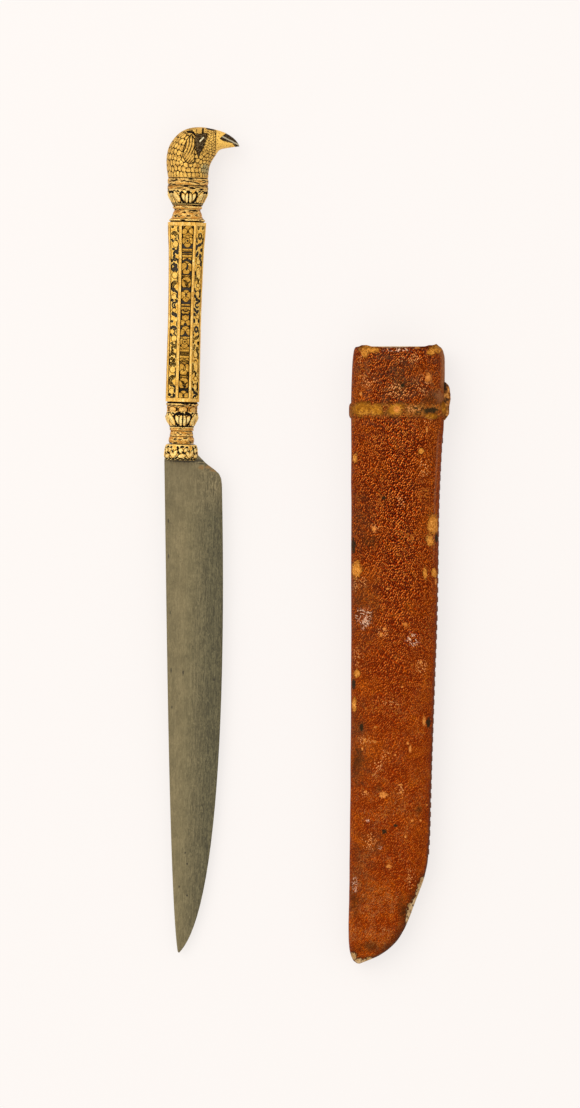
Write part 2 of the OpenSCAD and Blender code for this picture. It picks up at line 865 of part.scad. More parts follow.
// Torn strap at the collar: its outline stands off the front edge and its end curls out
strap_reach = 2.5;
strap_gap = 0.05;
module strap_stub() {
    seat = front_at(collar_at) + collar_proud + strap_gap;
    outline = [
        [-0.15, 10.4], [0.85, 8.7], [1.6, 6.1], [1.65, 3.9], [1.4, 2], [1.3, -1.9], [1, -3],
        [0.35, -4.1], [-0.4, -4.6], [0, -2.7], [0, 2.5], [-0.25, 3.8], [0.15, 5.6], [0.35, 7.6],
        [-0.5, 9.9]
    ];
    color("#9a5a24")
        place_sheath()
            translate([seat, -collar_at, mid_at(collar_at) - strap_w / 2])
                linear_extrude(height = strap_w)
                    polygon(outline);
}

// Both pieces together are centred on the table
half_wide = (bolster_r + lay_pitch + sheath_w + strap_reach) / 2;
knife_x = -half_wide + bolster_r;
sheath_x = knife_x + lay_pitch;
whole_len = head_y + head_h + sheath_len - handle_sunk;
knife_y = whole_len / 2 - head_y - head_h;
sheath_y = knife_y + handle_sunk;

blade();
bolster();
lower_neck_ring();
lower_lotus_collar();
lower_grip_band();
grip_sleeve();
grip_panel_grounds();
upper_grip_band();
upper_neck_ring();
upper_lotus_collar();
pommel_ring();
bird_head();
eye_inlays();
eye_slits();
beak_tip();
lac_filling();
sheath_leather();
sheath_throat_front();
sheath_throat_back();
sheath_blade_bed();
sheath_bed_lid();
sheath_collar_ring();
socket_lining();
seam_stitches();
strap_stub();
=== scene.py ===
import math
import random

import bpy
import numpy as np
from mathutils import Matrix, Vector, noise


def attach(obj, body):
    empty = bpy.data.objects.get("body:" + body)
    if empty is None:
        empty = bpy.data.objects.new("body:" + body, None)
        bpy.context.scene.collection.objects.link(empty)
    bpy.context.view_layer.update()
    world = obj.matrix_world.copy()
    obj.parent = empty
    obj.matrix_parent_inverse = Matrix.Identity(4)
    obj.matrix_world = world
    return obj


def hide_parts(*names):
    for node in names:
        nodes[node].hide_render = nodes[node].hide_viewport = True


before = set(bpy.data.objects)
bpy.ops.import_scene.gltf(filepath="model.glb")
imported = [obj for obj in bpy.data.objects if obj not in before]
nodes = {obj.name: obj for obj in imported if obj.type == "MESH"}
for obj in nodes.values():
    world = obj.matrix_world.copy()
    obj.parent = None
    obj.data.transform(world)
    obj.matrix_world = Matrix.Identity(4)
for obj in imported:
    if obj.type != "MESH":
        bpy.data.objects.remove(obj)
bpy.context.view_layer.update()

# Table, light and camera. The two pieces lie on a plain pale table and are seen from
# straight above, with the knife's head away from the viewer. One broad lamp stands up and
# to the left, and the rest of the light comes from all round.
view_middle = (-0.00633, -0.00323)
view_height = 3.0
# What the long side of the picture takes in, at the height where the pieces' outlines lie
field_long = 0.4029
outline_height = 0.008
film_width = 36
floor_size = 6
floor_drop = 0.0001
floor_colour = (0.735, 0.697, 0.67)
floor_seen = (1.0, 0.956, 0.93)
floor_glow = 0.76
sky_colour = (1.0, 0.985, 0.965)
sky_strength = 0.95
lamp_place = Vector((-1.1, 0.9, 2.0))
lamp_size = 2.0
lamp_power = 33
lamp_colour = (1.0, 0.985, 0.96)

bpy.ops.object.select_all(action="DESELECT")
bpy.ops.object.camera_add(location=(view_middle[0], view_middle[1], view_height), rotation=(0, 0, 0))
camera = bpy.context.object
camera.data.sensor_width = film_width
camera.data.lens = film_width * (view_height - outline_height) / field_long
camera.data.clip_end = 20
bpy.context.scene.camera = camera
bpy.context.scene.view_settings.view_transform = "Standard"


def step(material, kind, feeds=(), **facts):
    """One node of a finish: its settings, then what goes into it, a value or an output."""
    made = material.node_tree.nodes.new(kind)
    for key, value in facts.items():
        setattr(made, key, value)
    for key, value in feeds:
        if isinstance(value, Amount):
            value = value.socket
        if isinstance(value, bpy.types.NodeSocket):
            material.node_tree.links.new(value, made.inputs[key])
        else:
            made.inputs[key].default_value = value
    return made


def amount_of(material, kind, feeds=(), result=0, **facts):
    """What one node of a finish gives."""
    return Amount(material, step(material, kind, feeds, **facts).outputs[result])


class Amount:
    """A number, colour or place that a finish works out at each spot. Sums can be written with
    it as with a plain number."""

    def __init__(self, material, socket):
        self.material = material
        self.socket = socket

    def sum_of(self, how, first, second=0.0):
        return amount_of(self.material, "ShaderNodeMath", [(0, first), (1, second)], operation=how)

    def __add__(self, other):
        return self.sum_of("ADD", self, other)

    def __sub__(self, other):
        return self.sum_of("SUBTRACT", self, other)

    def __rsub__(self, other):
        return self.sum_of("SUBTRACT", other, self)

    def __mul__(self, other):
        return self.sum_of("MULTIPLY", self, other)

    def __truediv__(self, other):
        return self.sum_of("DIVIDE", self, other)

    def __abs__(self):
        return self.sum_of("ABSOLUTE", self)

    def at_least(self, other):
        return self.sum_of("MAXIMUM", self, other)

    def at_most(self, other):
        return self.sum_of("MINIMUM", self, other)

    __radd__ = __add__
    __rmul__ = __mul__


bpy.ops.object.select_all(action="DESELECT")
bpy.ops.mesh.primitive_plane_add(size=floor_size, location=(0, 0, -floor_drop))
floor = bpy.context.object
floor.name = "table_top"
floor_paper = bpy.data.materials.new("pale_paper")
floor_paper.use_nodes = True
floor_paper.node_tree.nodes.clear()
rays = step(floor_paper, "ShaderNodeLightPath").outputs
seen = Amount(floor_paper, rays["Is Camera Ray"]).at_least(rays["Is Glossy Ray"])
seen = seen.at_least(rays["Is Transmission Ray"])
matt = step(floor_paper, "ShaderNodeBsdfDiffuse", [("Color", (*floor_colour, 1))])
glow = step(floor_paper, "ShaderNodeEmission", [("Color", (*floor_seen, 1)), ("Strength", 1.0)])
lit_and_seen = [(0, seen * floor_glow), (1, matt.outputs[0]), (2, glow.outputs[0])]
both = step(floor_paper, "ShaderNodeMixShader", lit_and_seen)
step(floor_paper, "ShaderNodeOutputMaterial", [(0, both.outputs[0])])
floor.data.materials.append(floor_paper)

world = bpy.data.worlds.new("studio")
world.use_nodes = True
bpy.context.scene.world = world
sky = world.node_tree.nodes["Background"]
sky.inputs["Color"].default_value = (*sky_colour, 1)
sky.inputs["Strength"].default_value = sky_strength

bpy.ops.object.light_add(type="AREA", location=lamp_place)
lamp = bpy.context.object
lamp.name = "broad_lamp"
lamp.data.size = lamp_size
lamp.data.energy = lamp_power
lamp.data.color = lamp_colour
lamp.rotation_mode = "QUATERNION"
lamp.rotation_quaternion = (-lamp_place).to_track_quat("-Z", "Y")

# The blade: one bar of watered steel, ground to a thin edge, with its stick tang forged on.
# Its back is rounded, and small nicks and pits show along it.
# How the handle lies: the foot of its bolster, its turn on the table and its tilt to it
lying_at = (-46.05, 30.95, 5.95463)
lying_turn, lying_tilt = math.radians(-1.5), math.radians(0.853779)
handle_place = (
    Matrix.Translation(lying_at) @ Matrix.Rotation(lying_turn, 4, "Z") @ Matrix.Rotation(lying_tilt, 4, "X")
)
to_metres = Matrix.Scale(0.001, 4)


def copy_of(node, name):
    """A copy of a solid's mesh with its loose corners joined."""
    made = bpy.data.objects.new(name, nodes[node].data.copy())
    bpy.context.scene.collection.objects.link(made)
    made.data.materials.clear()
    bpy.ops.object.select_all(action="DESELECT")
    bpy.context.view_layer.objects.active = made
    made.select_set(True)
    bpy.ops.object.mode_set(mode="EDIT")
    bpy.ops.mesh.select_all(action="SELECT")
    bpy.ops.mesh.remove_doubles(threshold=0.000002)
    bpy.ops.mesh.normals_make_consistent(inside=False)
    bpy.ops.object.mode_set(mode="OBJECT")
    return made


def vector_of(how, first, second, result=0):
    """A sum on places, which gives a place, or a length with the result named Value."""
    feeds = [(0, first), (1, second)]
    return amount_of(first.material, "ShaderNodeVectorMath", feeds, result, operation=how)


def part_of(spot, axis):
    """One of a place's three measures."""
    return amount_of(spot.material, "ShaderNodeSeparateXYZ", [(0, spot)], axis)


def finish_with(name):
    """A new finish with its shader, and places on the piece in millimetres."""
    made = bpy.data.materials.new(name)
    made.use_nodes = True
    place = amount_of(made, "ShaderNodeTexCoord", result="Object")
    return made, made.node_tree.nodes["Principled BSDF"], vector_of("MULTIPLY", place, (1000, 1000, 1000))


def stretched(spot, scale, turn=(0, 0, 0)):
    """Places turned, then drawn out by a scale on each axis."""
    turned = amount_of(spot.material, "ShaderNodeMapping", [(0, spot), ("Rotation", turn)])
    return amount_of(spot.material, "ShaderNodeMapping", [(0, turned), ("Scale", scale)])


def cloud(spot, scale, detail=3.0, rough=0.55, warp=0.0):
    """Soft random patches, so many to a millimetre."""
    return amount_of(spot.material, "ShaderNodeTexNoise", [
        ("Vector", spot), ("Scale", scale), ("Detail", detail), ("Roughness", rough), ("Distortion", warp),
    ])


def ramp_of(value, *stops):
    """Colours or greys along a number, each stop with its place and its colour."""
    made = step(value.material, "ShaderNodeValToRGB", [(0, value)])
    line = made.color_ramp
    while len(line.elements) < len(stops):
        line.elements.new(0.5)
    for element, (place, colour) in zip(line.elements, stops):
        element.position = place
        element.color = (*colour, 1) if isinstance(colour, tuple) else (colour, colour, colour, 1)
    return Amount(value.material, made.outputs[0])


def blend_of(share, first, second, how="MIX"):
    """One colour laid over another by a share."""
    if isinstance(second, tuple):
        second = (*second, 1)
    feeds = [("Factor", share), (6, first), (7, second)]
    return amount_of(first.material, "ShaderNodeMix", feeds, 2, data_type="RGBA", blend_type=how)


def laid_over(tone, *layers):
    """A tone with colours laid over it in turn, each by its own share."""
    for share, colour in layers:
        tone = blend_of(share, tone, colour)
    return tone


def plug_in(shader, **inputs):
    """Joins amounts to the shader's inputs by name, and sets those given as plain numbers."""
    for key, value in inputs.items():
        socket = shader.inputs[key.replace("_", " ")]
        if isinstance(value, Amount):
            value.material.node_tree.links.new(value.socket, socket)
        else:
            socket.default_value = value


def raise_by(shader, height, depth):
    """Relief from a number, with its depth in millimetres."""
    feeds = [("Strength", 1.0), ("Distance", depth / 1000), ("Height", height)]
    plug_in(shader, Normal=amount_of(height.material, "ShaderNodeBump", feeds))


def nearest_mark(flat, marks):
    """How many times a mark's own reach a place lies from the nearest mark."""
    best = None
    for x, y, wide, tall in marks:
        off = vector_of("MULTIPLY", vector_of("SUBTRACT", flat, (x, y, 0)), (1 / wide, 1 / tall, 0))
        far = vector_of("LENGTH", off, (0, 0, 0), "Value")
        best = far if best is None else best.at_most(far)
    return best


steel_tones = [(0.34, (0.132, 0.104, 0.046)), (0.5, (0.157, 0.124, 0.056)), (0.64, (0.178, 0.14, 0.065))]
water_dark, water_pale = (0.06, 0.047, 0.018), (0.29, 0.235, 0.12)
line_dark, line_pale = (0.1, 0.078, 0.034), (0.23, 0.185, 0.095)
grit_dark, speck_dark = (0.065, 0.052, 0.02), (0.04, 0.03, 0.013)
stain_brown, pit_black = (0.24, 0.125, 0.035), (0.03, 0.022, 0.009)
# Across the blade: its direction, and the back's place and the width on it
across_blade = (0.99966, -0.02618, 0)
back_at, blade_wide = 51.845, 22
# How bright the face is painted, from its back at nought to its edge at one: painted shade of the light
# across the ground face
face_painted_shades = [
    (0.0, (0.98, 0.96, 0.95)), (0.1, (1.1, 1.08, 1.06)), (0.3, (1.18, 1.16, 1.14)),
    (0.43, (1.05, 1.05, 1.02)), (0.6, (0.86, 0.87, 0.84)), (0.8, (0.62, 0.65, 0.6)),
    (1.0, (0.58, 0.61, 0.56)),
]
shoulder_painted_shade = (1.02, 1.0, 0.98)

steel, shader, spot = finish_with("watered_steel")
flat = vector_of("MULTIPLY", spot, (1, 1, 0))
water = cloud(stretched(spot, (1, 0.22, 1), (0, 0, math.radians(2))), 1.6, 6, 0.62, 1.4)
lines = cloud(stretched(spot, (2.2, 0.06, 1), (0, 0, math.radians(1.5))), 1.2, 3, 0.6)
mottle = cloud(spot, 0.16, 4, 0.6)
specks = cloud(spot, 2.4, 2, 0.5)
grit = cloud(spot, 1.3, 5, 0.7)
across = (vector_of("DOT_PRODUCT", spot, across_blade, "Value") + back_at) / blade_wide
rough = ramp_of(across, (0.38, 0.35), (0.75, 1.0))
streaky = ramp_of(across, (0.3, 0.35), (0.75, 1.0))
tone = laid_over(
    ramp_of(mottle, *steel_tones),
    (rough * ramp_of(water, (0.4, 0.9), (0.52, 0.0)), water_dark),
    (rough * ramp_of(water, (0.54, 0.0), (0.66, 0.7)), water_pale),
    (rough * ramp_of(grit, (0.34, 0.8), (0.5, 0.0)), grit_dark),
    (streaky * ramp_of(lines, (0.36, 0.5), (0.5, 0.0)), line_dark),
    (streaky * ramp_of(lines, (0.52, 0.0), (0.66, 0.5)), line_pale),
    (ramp_of(specks, (0.26, 0.7), (0.34, 0.0)), speck_dark),
)
# Painted shade: the face is painted darker towards the edge, except below the shoulder
near_shoulder = ramp_of(part_of(spot, 1) / 50, (0.2, 0.0), (0.42, 1.0))
painted_face_shade = blend_of(near_shoulder, ramp_of(across, *face_painted_shades), shoulder_painted_shade)
tone = blend_of(1.0, tone, painted_face_shade, "MULTIPLY")


def stained(marks, inner, outer):
    """Share of each place on the blade that a list of marks takes up, with a ragged edge."""
    away = nearest_mark(flat, marks) + (grit - 0.5) * 2.0
    return ramp_of(away * 0.5, (inner / 2, 1.0), (outer / 2, 0.0))


# Places across and along the blade in millimetres, each with half its width and its height
blade_stains = [
    (-35.8, 28.4, 1.6, 0.6), (-33.9, 27.2, 1.5, 0.5), (-38.6, 28.3, 1.0, 0.8), (-37.0, 31.6, 1.6, 0.5),
]
blade_pits = [
    (-43.4, 30.75, 7.5, 0.7), (-38.3, 29.6, 1.5, 0.3), (-36.6, 30.2, 0.8, 0.3),
    (-45.2, -46.5, 0.3, 0.9), (-34.1, -48.9, 0.5, 0.45), (-44.5, -112.0, 0.3, 0.4),
    (-43.8, -116.0, 0.4, 0.4), (-46.7, -124.3, 0.3, 0.5), (-43.8, -127.6, 0.4, 0.3),
    (-50.6, 8.9, 0.25, 0.8), (-50.6, -3.8, 0.2, 1.0), (-49.9, -24.5, 0.2, 0.8),
    (-49.6, -45.5, 0.25, 0.9), (-49.3, -59.0, 0.25, 0.6),
]
tone = laid_over(
    tone, (stained(blade_stains, 0.6, 1.3) * 0.75, stain_brown),
    (stained(blade_pits, 0.7, 1.15) * 0.85, pit_black))
plug_in(shader, Base_Color=tone, Roughness=ramp_of(water, (0.3, 0.42), (0.7, 0.56)), Metallic=0.35)
raise_by(shader, water + specks * 0.6, 0.05)

blade = copy_of("blade", "ground_blade")
blade.data.materials.append(steel)
bpy.ops.object.shade_smooth_by_angle(angle=math.radians(14))
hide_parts("blade")
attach(blade, "knife")

# The turned rings of the handle: bolster, necks, collars, bands and pommel ring. Each is cast
# and turned in gilt metal, slipped over the tang in turn and chased with leaves and lotus
# petals, and its cut ground has gone black with age.
bore = 2.75
grip_turn = 4
# How fine the rings' sheets are: steps round, and the length of one along the outline
ring_steps = 288
mesh_step = 0.17
pit_brown, cut_black, verdigris = (0.05, 0.018, 0.003), (0.008, 0.004, 0.002), (0.3, 0.28, 0.14)


def rolled_sheet(name, lengthwise, around, place_at, marks):
    """A plain sheet bent into a closed form, then merged along its seams. place_at gives the
    places in millimetres on the handle, and marks the names of the numbers it keeps on them."""
    bpy.ops.object.select_all(action="DESELECT")
    bpy.ops.mesh.primitive_grid_add(x_subdivisions=lengthwise, y_subdivisions=around, size=1)
    made = bpy.context.object
    made.name = made.data.name = name
    flat = np.empty(len(made.data.vertices) * 3)
    made.data.vertices.foreach_get("co", flat)
    flat = flat.reshape(-1, 3) + 0.5
    places, kept = place_at(flat[:, 0], flat[:, 1])
    made.data.vertices.foreach_set("co", places.ravel())
    for mark, values in zip(marks, kept):
        on_points = made.data.attributes.new(mark, "FLOAT", "POINT")
        on_points.data.foreach_set("value", values.astype(np.float32))
    made.data.transform(to_metres @ handle_place)
    bpy.ops.object.mode_set(mode="EDIT")
    bpy.ops.mesh.select_all(action="SELECT")
    bpy.ops.mesh.remove_doubles(threshold=0.000003)
    bpy.ops.mesh.select_all(action="DESELECT")
    bpy.ops.mesh.select_non_manifold()
    if made.data.total_edge_sel:
        bpy.ops.mesh.fill_holes(sides=0)
    bpy.ops.mesh.select_all(action="SELECT")
    bpy.ops.mesh.normals_make_consistent(inside=False)
    bpy.ops.object.mode_set(mode="OBJECT")
    bpy.ops.object.shade_smooth_by_angle(angle=math.radians(50))
    return made


def oval_at(u, v, x, y, wide, tall, turn=0.0):
    """Distance in millimetres inside the rim of an oval punch, below nought outside it."""
    c, s = math.cos(math.radians(turn)), math.sin(math.radians(turn))
    a, b = (u - x) * c + (v - y) * s, (v - y) * c - (u - x) * s
    return (1 - np.hypot(a / wide, b / tall)) * min(wide, tall)


def bent_at(u, v, x, y, radius, thick, low, high):
    """The same for a bent stroke of the graver, from one angle to another."""
    turn = np.degrees(np.arctan2(v - y, u - x))
    inside = (turn - low) % 360 <= (high - low)
    return np.where(inside, thick / 2 - np.abs(np.hypot(u - x, v - y) - radius), -9.0)


def band_at(h, at, half):
    """The same for a line or a groove that runs right round."""
    return half - np.abs(h - at)


def chased(u, v, work):
    """Height, blackness and bright gilt where raised and cut shapes follow each other. The bright share is
    rubbed gilt along the bright lines and strokes, and painted highlight on the tops of the raised shapes
    and in a thin rim beside each cut.
    """
    height, black, bright_gilt_and_highlight = np.zeros_like(u), np.zeros_like(u), np.zeros_like(u)
    for kind, inside, amount in work:
        if kind == "raised":
            black = np.maximum(black, np.clip(1 + inside / 0.26, 0, 1) * (inside < 0))
            black = np.where(inside > 0, np.clip(0.3 - inside / 0.3, 0, 1), black)
            bright_gilt_and_highlight = np.where(inside > 0, np.clip(inside / 0.3 - 0.2, 0, 1) * min(1, amount / 0.36), bright_gilt_and_highlight)
            height = np.where(inside > 0, amount * np.clip(inside / 0.35, 0, 1) ** 0.5, height)
        elif kind == "groove":
            black = np.maximum(black, np.clip(inside / 0.1 + 0.4, 0, 1) * 0.42)
            height = height - amount * np.clip(inside / 0.1 + 0.4, 0, 1)
        elif kind == "bright":
            bright_gilt_and_highlight = np.maximum(bright_gilt_and_highlight, np.clip(inside / 0.12 + 0.4, 0, 1) * amount)
        else:
            share = np.clip(inside / 0.12 + 1.4, 0, 1)
            black, height = np.maximum(black, share), height * (1 - share) - amount * share
            bright_gilt_and_highlight = np.maximum(bright_gilt_and_highlight * (1 - share), np.clip(1 - np.abs(inside + 0.2) / 0.16, 0, 1) * 0.8)
    return height, black, bright_gilt_and_highlight


def ring_form(name, start, outline, pattern):
    """A turned ring with a bore, from its outline of radius and height, chased with a pattern
    that reads the arc from the front in millimetres and the height."""
    line = np.array(outline, float)
    run = np.concatenate([[0], np.cumsum(np.hypot(*np.diff(line, axis=0).T))])
    count = int(run[-1] / mesh_step) + 2
    radius = np.interp(np.linspace(0, run[-1], count), run, line[:, 0])
    height = np.interp(np.linspace(0, run[-1], count), run, line[:, 1])
    across, down = np.gradient(radius), np.gradient(height)
    length = np.hypot(across, down)
    out_r, out_h = down / length, -across / length
    top = line[-1, 1]
    radius = np.concatenate([[bore], radius, [bore, bore]])
    height = np.concatenate([[0], height, [top, 0]])
    out_r, out_h = np.concatenate([[0], out_r, [0, 0]]), np.concatenate([[0], out_h, [0, 0]])

    def place_at(along, around):
        i = np.rint(along * (len(radius) - 1)).astype(int)
        turn = around * 2 * math.pi
        turned = (turn + math.pi) % (2 * math.pi) - math.pi
        shown = (i > 0) & (i < len(radius) - 2)
        rise, black, bright_gilt_and_highlight = pattern(np.degrees(turned), height[i])
        rise, black, bright_gilt_and_highlight = rise * shown, black * shown, bright_gilt_and_highlight * shown
        r, h = radius[i] + rise * out_r[i], height[i] + rise * out_h[i]
        lean = turn + math.radians(grip_turn)
        return np.column_stack([r * np.sin(lean), start + h, r * np.cos(lean)]), (black, bright_gilt_and_highlight)

    made = rolled_sheet(name, len(radius) - 1, ring_steps, place_at, ("black", "bright_gilt_and_highlight"))
    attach(made, "knife")
    return made


def kept_on(material, mark):
    """A number that a piece keeps on its points."""
    return amount_of(material, "ShaderNodeAttribute", result="Fac", attribute_name=mark)


def gilding(name, drawn_out, brown, gold, bright, speckled=0.41, ink=(0.1, 0.5), stain=None):
    """Worn fire gilding: brown where it is rubbed, pale on the ridges, where the bright gilt and
    painted highlight kept on the piece are laid, black in the cuts, and speckled with small pits.
    Its stains are drawn out by a scale, round a turned piece, and a stain of its own can be kept
    on the piece."""
    made, shader, spot = finish_with(name)
    rubbed = cloud(stretched(spot, drawn_out), 0.75, 6, 0.7, 0.5)
    fine = cloud(spot, 2.4, 4, 0.72)
    pits = cloud(stretched(spot, (1, 1, 1), (0.4, 0.2, 0.9)), 3.0, 2, 0.5)
    grime = cloud(stretched(spot, drawn_out), 1.5, 4, 0.7, 0.8)
    tone = laid_over(
        ramp_of(rubbed, (0.37, brown), (0.46, gold), (0.55, gold), (0.64, bright)),
        (ramp_of(fine, (0.54, 0.0), (0.66, 0.8)), bright),
        (ramp_of(grime, (0.32, 0.85), (0.44, 0.0)), brown),
        (kept_on(made, "bright_gilt_and_highlight") * 0.85, bright),
        (ramp_of(pits, (speckled - 0.06, 0.95), (speckled, 0.0)), pit_brown),
    )
    if stain:
        tone = blend_of(kept_on(made, stain) * ramp_of(fine, (0.35, 0.3), (0.6, 0.9)), tone, verdigris)
    cut = ramp_of(kept_on(made, "black") + (fine - 0.5) * 0.5, (ink[0], 0.0), (ink[1], 1.0))
    plug_in(
        shader, Base_Color=blend_of(cut, tone, cut_black),
        Roughness=ramp_of(fine, (0.3, 0.58), (0.7, 0.34)), Metallic=ramp_of(cut, (0.1, 0.4), (0.7, 0.0)),
        Specular_IOR_Level=ramp_of(cut, (0.0, 0.12), (0.6, 0.03)))
    raise_by(shader, rubbed + fine + pits * 0.6, 0.14)
    return made


gilt = gilding(
    "chased_gilt", (0.6, 1.5, 0.6), (0.4, 0.145, 0.006), (0.88, 0.46, 0.07), (1.0, 0.8, 0.32), 0.4)
dark_gilt = gilding(
    "rubbed_gilt", (0.3, 2.0, 0.3), (0.2, 0.05, 0.001), (0.6, 0.235, 0.018), (1.0, 0.68, 0.21), 0.43)

bolster_r, bolster_h = 6.0, 6.0
lower_neck_r, lower_neck_h = 4.6, 5.6
lower_collar_r, lower_collar_h, lower_band_h = 5.9, 6.0, 3.6
grip_len = 65.2
upper_band_h, upper_neck_r, upper_neck_h, upper_collar_h = 3.3, 4.75, 3.2, 5.0
pommel_r, pommel_h = 7.45, 4.8
neck_y = bolster_h
lower_collar_y = neck_y + lower_neck_h
lower_band_y = lower_collar_y + lower_collar_h
grip_y = lower_band_y + lower_band_h
upper_band_y = grip_y + grip_len
upper_neck_y = upper_band_y + upper_band_h
upper_collar_y = upper_neck_y + upper_neck_h
pommel_y = upper_collar_y + upper_collar_h
head_y = pommel_y + pommel_h


def swell(low, high, start, end, steps=10):
    """Outline that swells from one radius to another."""
    shares = [i / steps for i in range(steps + 1)]
    eased = [0.35 * s + 0.65 * (0.5 - 0.5 * math.cos(math.pi * s)) for s in shares]
    return [(low + (high - low) * e, start + (end - start) * s) for e, s in zip(eased, shares)]


def bead(radius, proud, start, end, steps=10):
    """Half-round bead on an outline."""
    turns = [math.pi * i / steps for i in range(steps + 1)]
    middle, half = (start + end) / 2, (end - start) / 2
    return [(radius + proud * math.sin(turn), middle - half * math.cos(turn)) for turn in turns]


def worn_strokes(turn, h, deep, count, seed, more=()):
    """Small slanting strokes left by the punch, half rubbed away, and grooves and bright lines
    that run round."""
    draw = random.Random(seed)
    work = []
    for _ in range(count):
        at, up = draw.uniform(-180, 180), draw.uniform(0, 6)
        lean, long = draw.uniform(-14, 14), draw.uniform(0.25, 0.8)
        off = ((turn - at + 180) % 360 - 180) * 0.1
        inside = oval_at(off, h, 0, up, long, draw.uniform(0.06, 0.15), lean)
        work.append(("cut", inside - 0.06, deep) if draw.random() < 0.6 else ("bright", inside, 0.9))
    return chased(turn, h, work + list(more))


def bolster_leaves(turn, h):
    """Two rows of curling leaves with deep drilled dots between them."""
    u = ((turn + 30) % 60 - 30) * bolster_r * math.pi / 180
    work = [
        ("raised", oval_at(u, h, 0.0, 1.5, 1.5, 0.75, 12), 0.2),
        ("raised", oval_at(u, h, -2.6, 2.3, 0.7, 1.5, -30), 0.22),
        ("raised", oval_at(u, h, 2.4, 2.0, 0.65, 1.4, 28), 0.22),
        ("raised", oval_at(u, h, -0.4, 3.4, 0.85, 1.0, 40), 0.2),
        ("raised", oval_at(u, h, 1.4, 3.7, 0.6, 0.95, -35), 0.2),
        ("cut", oval_at(u, h, 0.1, 4.85, 0.75, 0.36), 0.3),
        ("cut", oval_at(u, h, 1.9, 4.7, 0.55, 0.32, 10), 0.25),
        ("cut", oval_at(u, h, -1.6, 4.4, 0.4, 0.7, 20), 0.25),
        ("cut", oval_at(u, h, -1.2, 2.6, 0.26, 0.7, 10), 0.2),
        ("cut", oval_at(u, h, 0.6, 2.6, 0.8, 0.26, -30), 0.2),
        ("cut", oval_at(u, h, 2.9, 3.4, 0.35, 0.65, -35), 0.25),
        ("cut", oval_at(u, h, -2.0, 0.9, 0.5, 0.26, 30), 0.2),
        ("cut", oval_at(u, h, 1.5, 0.6, 0.6, 0.24, -20), 0.2),
        ("cut", 0.2 - np.abs(h - 0.3 + 0.12 * np.sin(u * 3)), 0.15),
        ("cut", band_at(h, 5.9, 0.2), 0.15),
    ]
    return chased(u, h, [(kind, inside - 0.09 * (kind == "cut"), amount) for kind, inside, amount in work])


def turned_lines(deep, count, seed, *lines):
    """A pattern of worn strokes, with lines that run round at a height: cuts, grooves and rubbed
    bright ones, each with half its width and its strength."""
    def pattern(turn, h):
        work = [(kind, band_at(h, at, half), amount) for kind, at, half, amount in lines]
        return worn_strokes(turn, h, deep, count, seed, work)

    return pattern


lower_neck_lines = turned_lines(
    0.04, 110, 5, ("groove", 2.6, 0.16, 0.1), ("bright", 3.1, 0.2, 0.7), ("groove", 4.5, 0.18, 0.1))
upper_band_lines = turned_lines(
    0.04, 90, 8, ("cut", 0.08, 0.3, 0.1), ("bright", 0.8, 0.28, 1.0), ("groove", 1.25, 0.1, 0.05))
upper_neck_lines = turned_lines(
    0.04, 100, 9, ("groove", 1.2, 0.16, 0.08), ("bright", 2.3, 0.26, 0.9), ("cut", 2.95, 0.06, 0.05))
pommel_lines = turned_lines(
    0.03, 150, 11, ("cut", 4.5, 0.02, 0.06), ("bright", 4.1, 0.14, 0.9), ("groove", 3.75, 0.1, 0.05),
    ("groove", 1.85, 0.36, 0.1), ("groove", 1.3, 0.1, 0.05), ("bright", 2.75, 0.14, 0.6),
    ("bright", 0.2, 0.2, 1.0), ("groove", 0.52, 0.1, 0.05))


def lotus(turn, h, units, radius, scale, base, leaf_at, closes):
    """A lotus of upright petals in a dark arch, with a leaf curling away on each side. closes is
    the angle at which the arch ends on each side."""
    u = ((turn + 180 / units) % (360 / units) - 180 / units) * radius * math.pi / 180 / scale
    v = (h - base) / scale
    work = []
    for side in (-1, 1):
        work += [
            ("cut", bent_at(u * side, v, 0.7, 2.0, 2.1, 0.5, -70, 30), 0.25),
            ("cut", bent_at(u * side, v, 0.6, 1.9, 2.2, 0.95, 25, closes), 0.25),
            ("raised", oval_at(u, v, side * leaf_at, 2.1, 0.95, 2.1, side * -24), 0.22),
            ("groove", oval_at(u, v, side * (leaf_at + 0.2), 2.0, 0.12, 1.3, side * -24), 0.08),
            ("cut", oval_at(u, v, side * (leaf_at + 1.6), 3.7, 0.62, 0.34, side * 12), 0.25),
            ("cut", oval_at(u, v, side * (leaf_at + 1.55), 1.2, 0.1, 0.9, side * -14), 0.2),
            ("cut", oval_at(u, v, side * (leaf_at - 0.7), 4.0, 0.3, 0.14, side * 20), 0.2),
            ("raised", oval_at(u, v, side * 1.6, 1.95, 0.68, 1.45, side * -18), 0.4),
        ]
    work += [
        ("raised", oval_at(u, v, -0.56, 1.7, 0.62, 1.7, -4), 0.42),
        ("raised", oval_at(u, v, 0.56, 1.7, 0.62, 1.7, 4), 0.42),
        ("cut", oval_at(u, v, 0.0, 1.9, 0.05, 1.3), 0.2),
        ("cut", band_at(v, -0.15, 0.06), 0.15),
        ("cut", oval_at(u, v, -0.2, 4.0, 0.34, 0.16), 0.2),
    ]
    return chased(u, v, work)


def upper_lotus(turn, h):
    """The upper collar's three lotuses."""
    return lotus(turn, h, 3, 6.4, 1.04, 0.5, 4.2, 58)


def lower_lotus(turn, h):
    """The lower collar's three lotuses."""
    return lotus(turn, h, 3, 5.5, 1.16, 0.75, 3.9, 88)


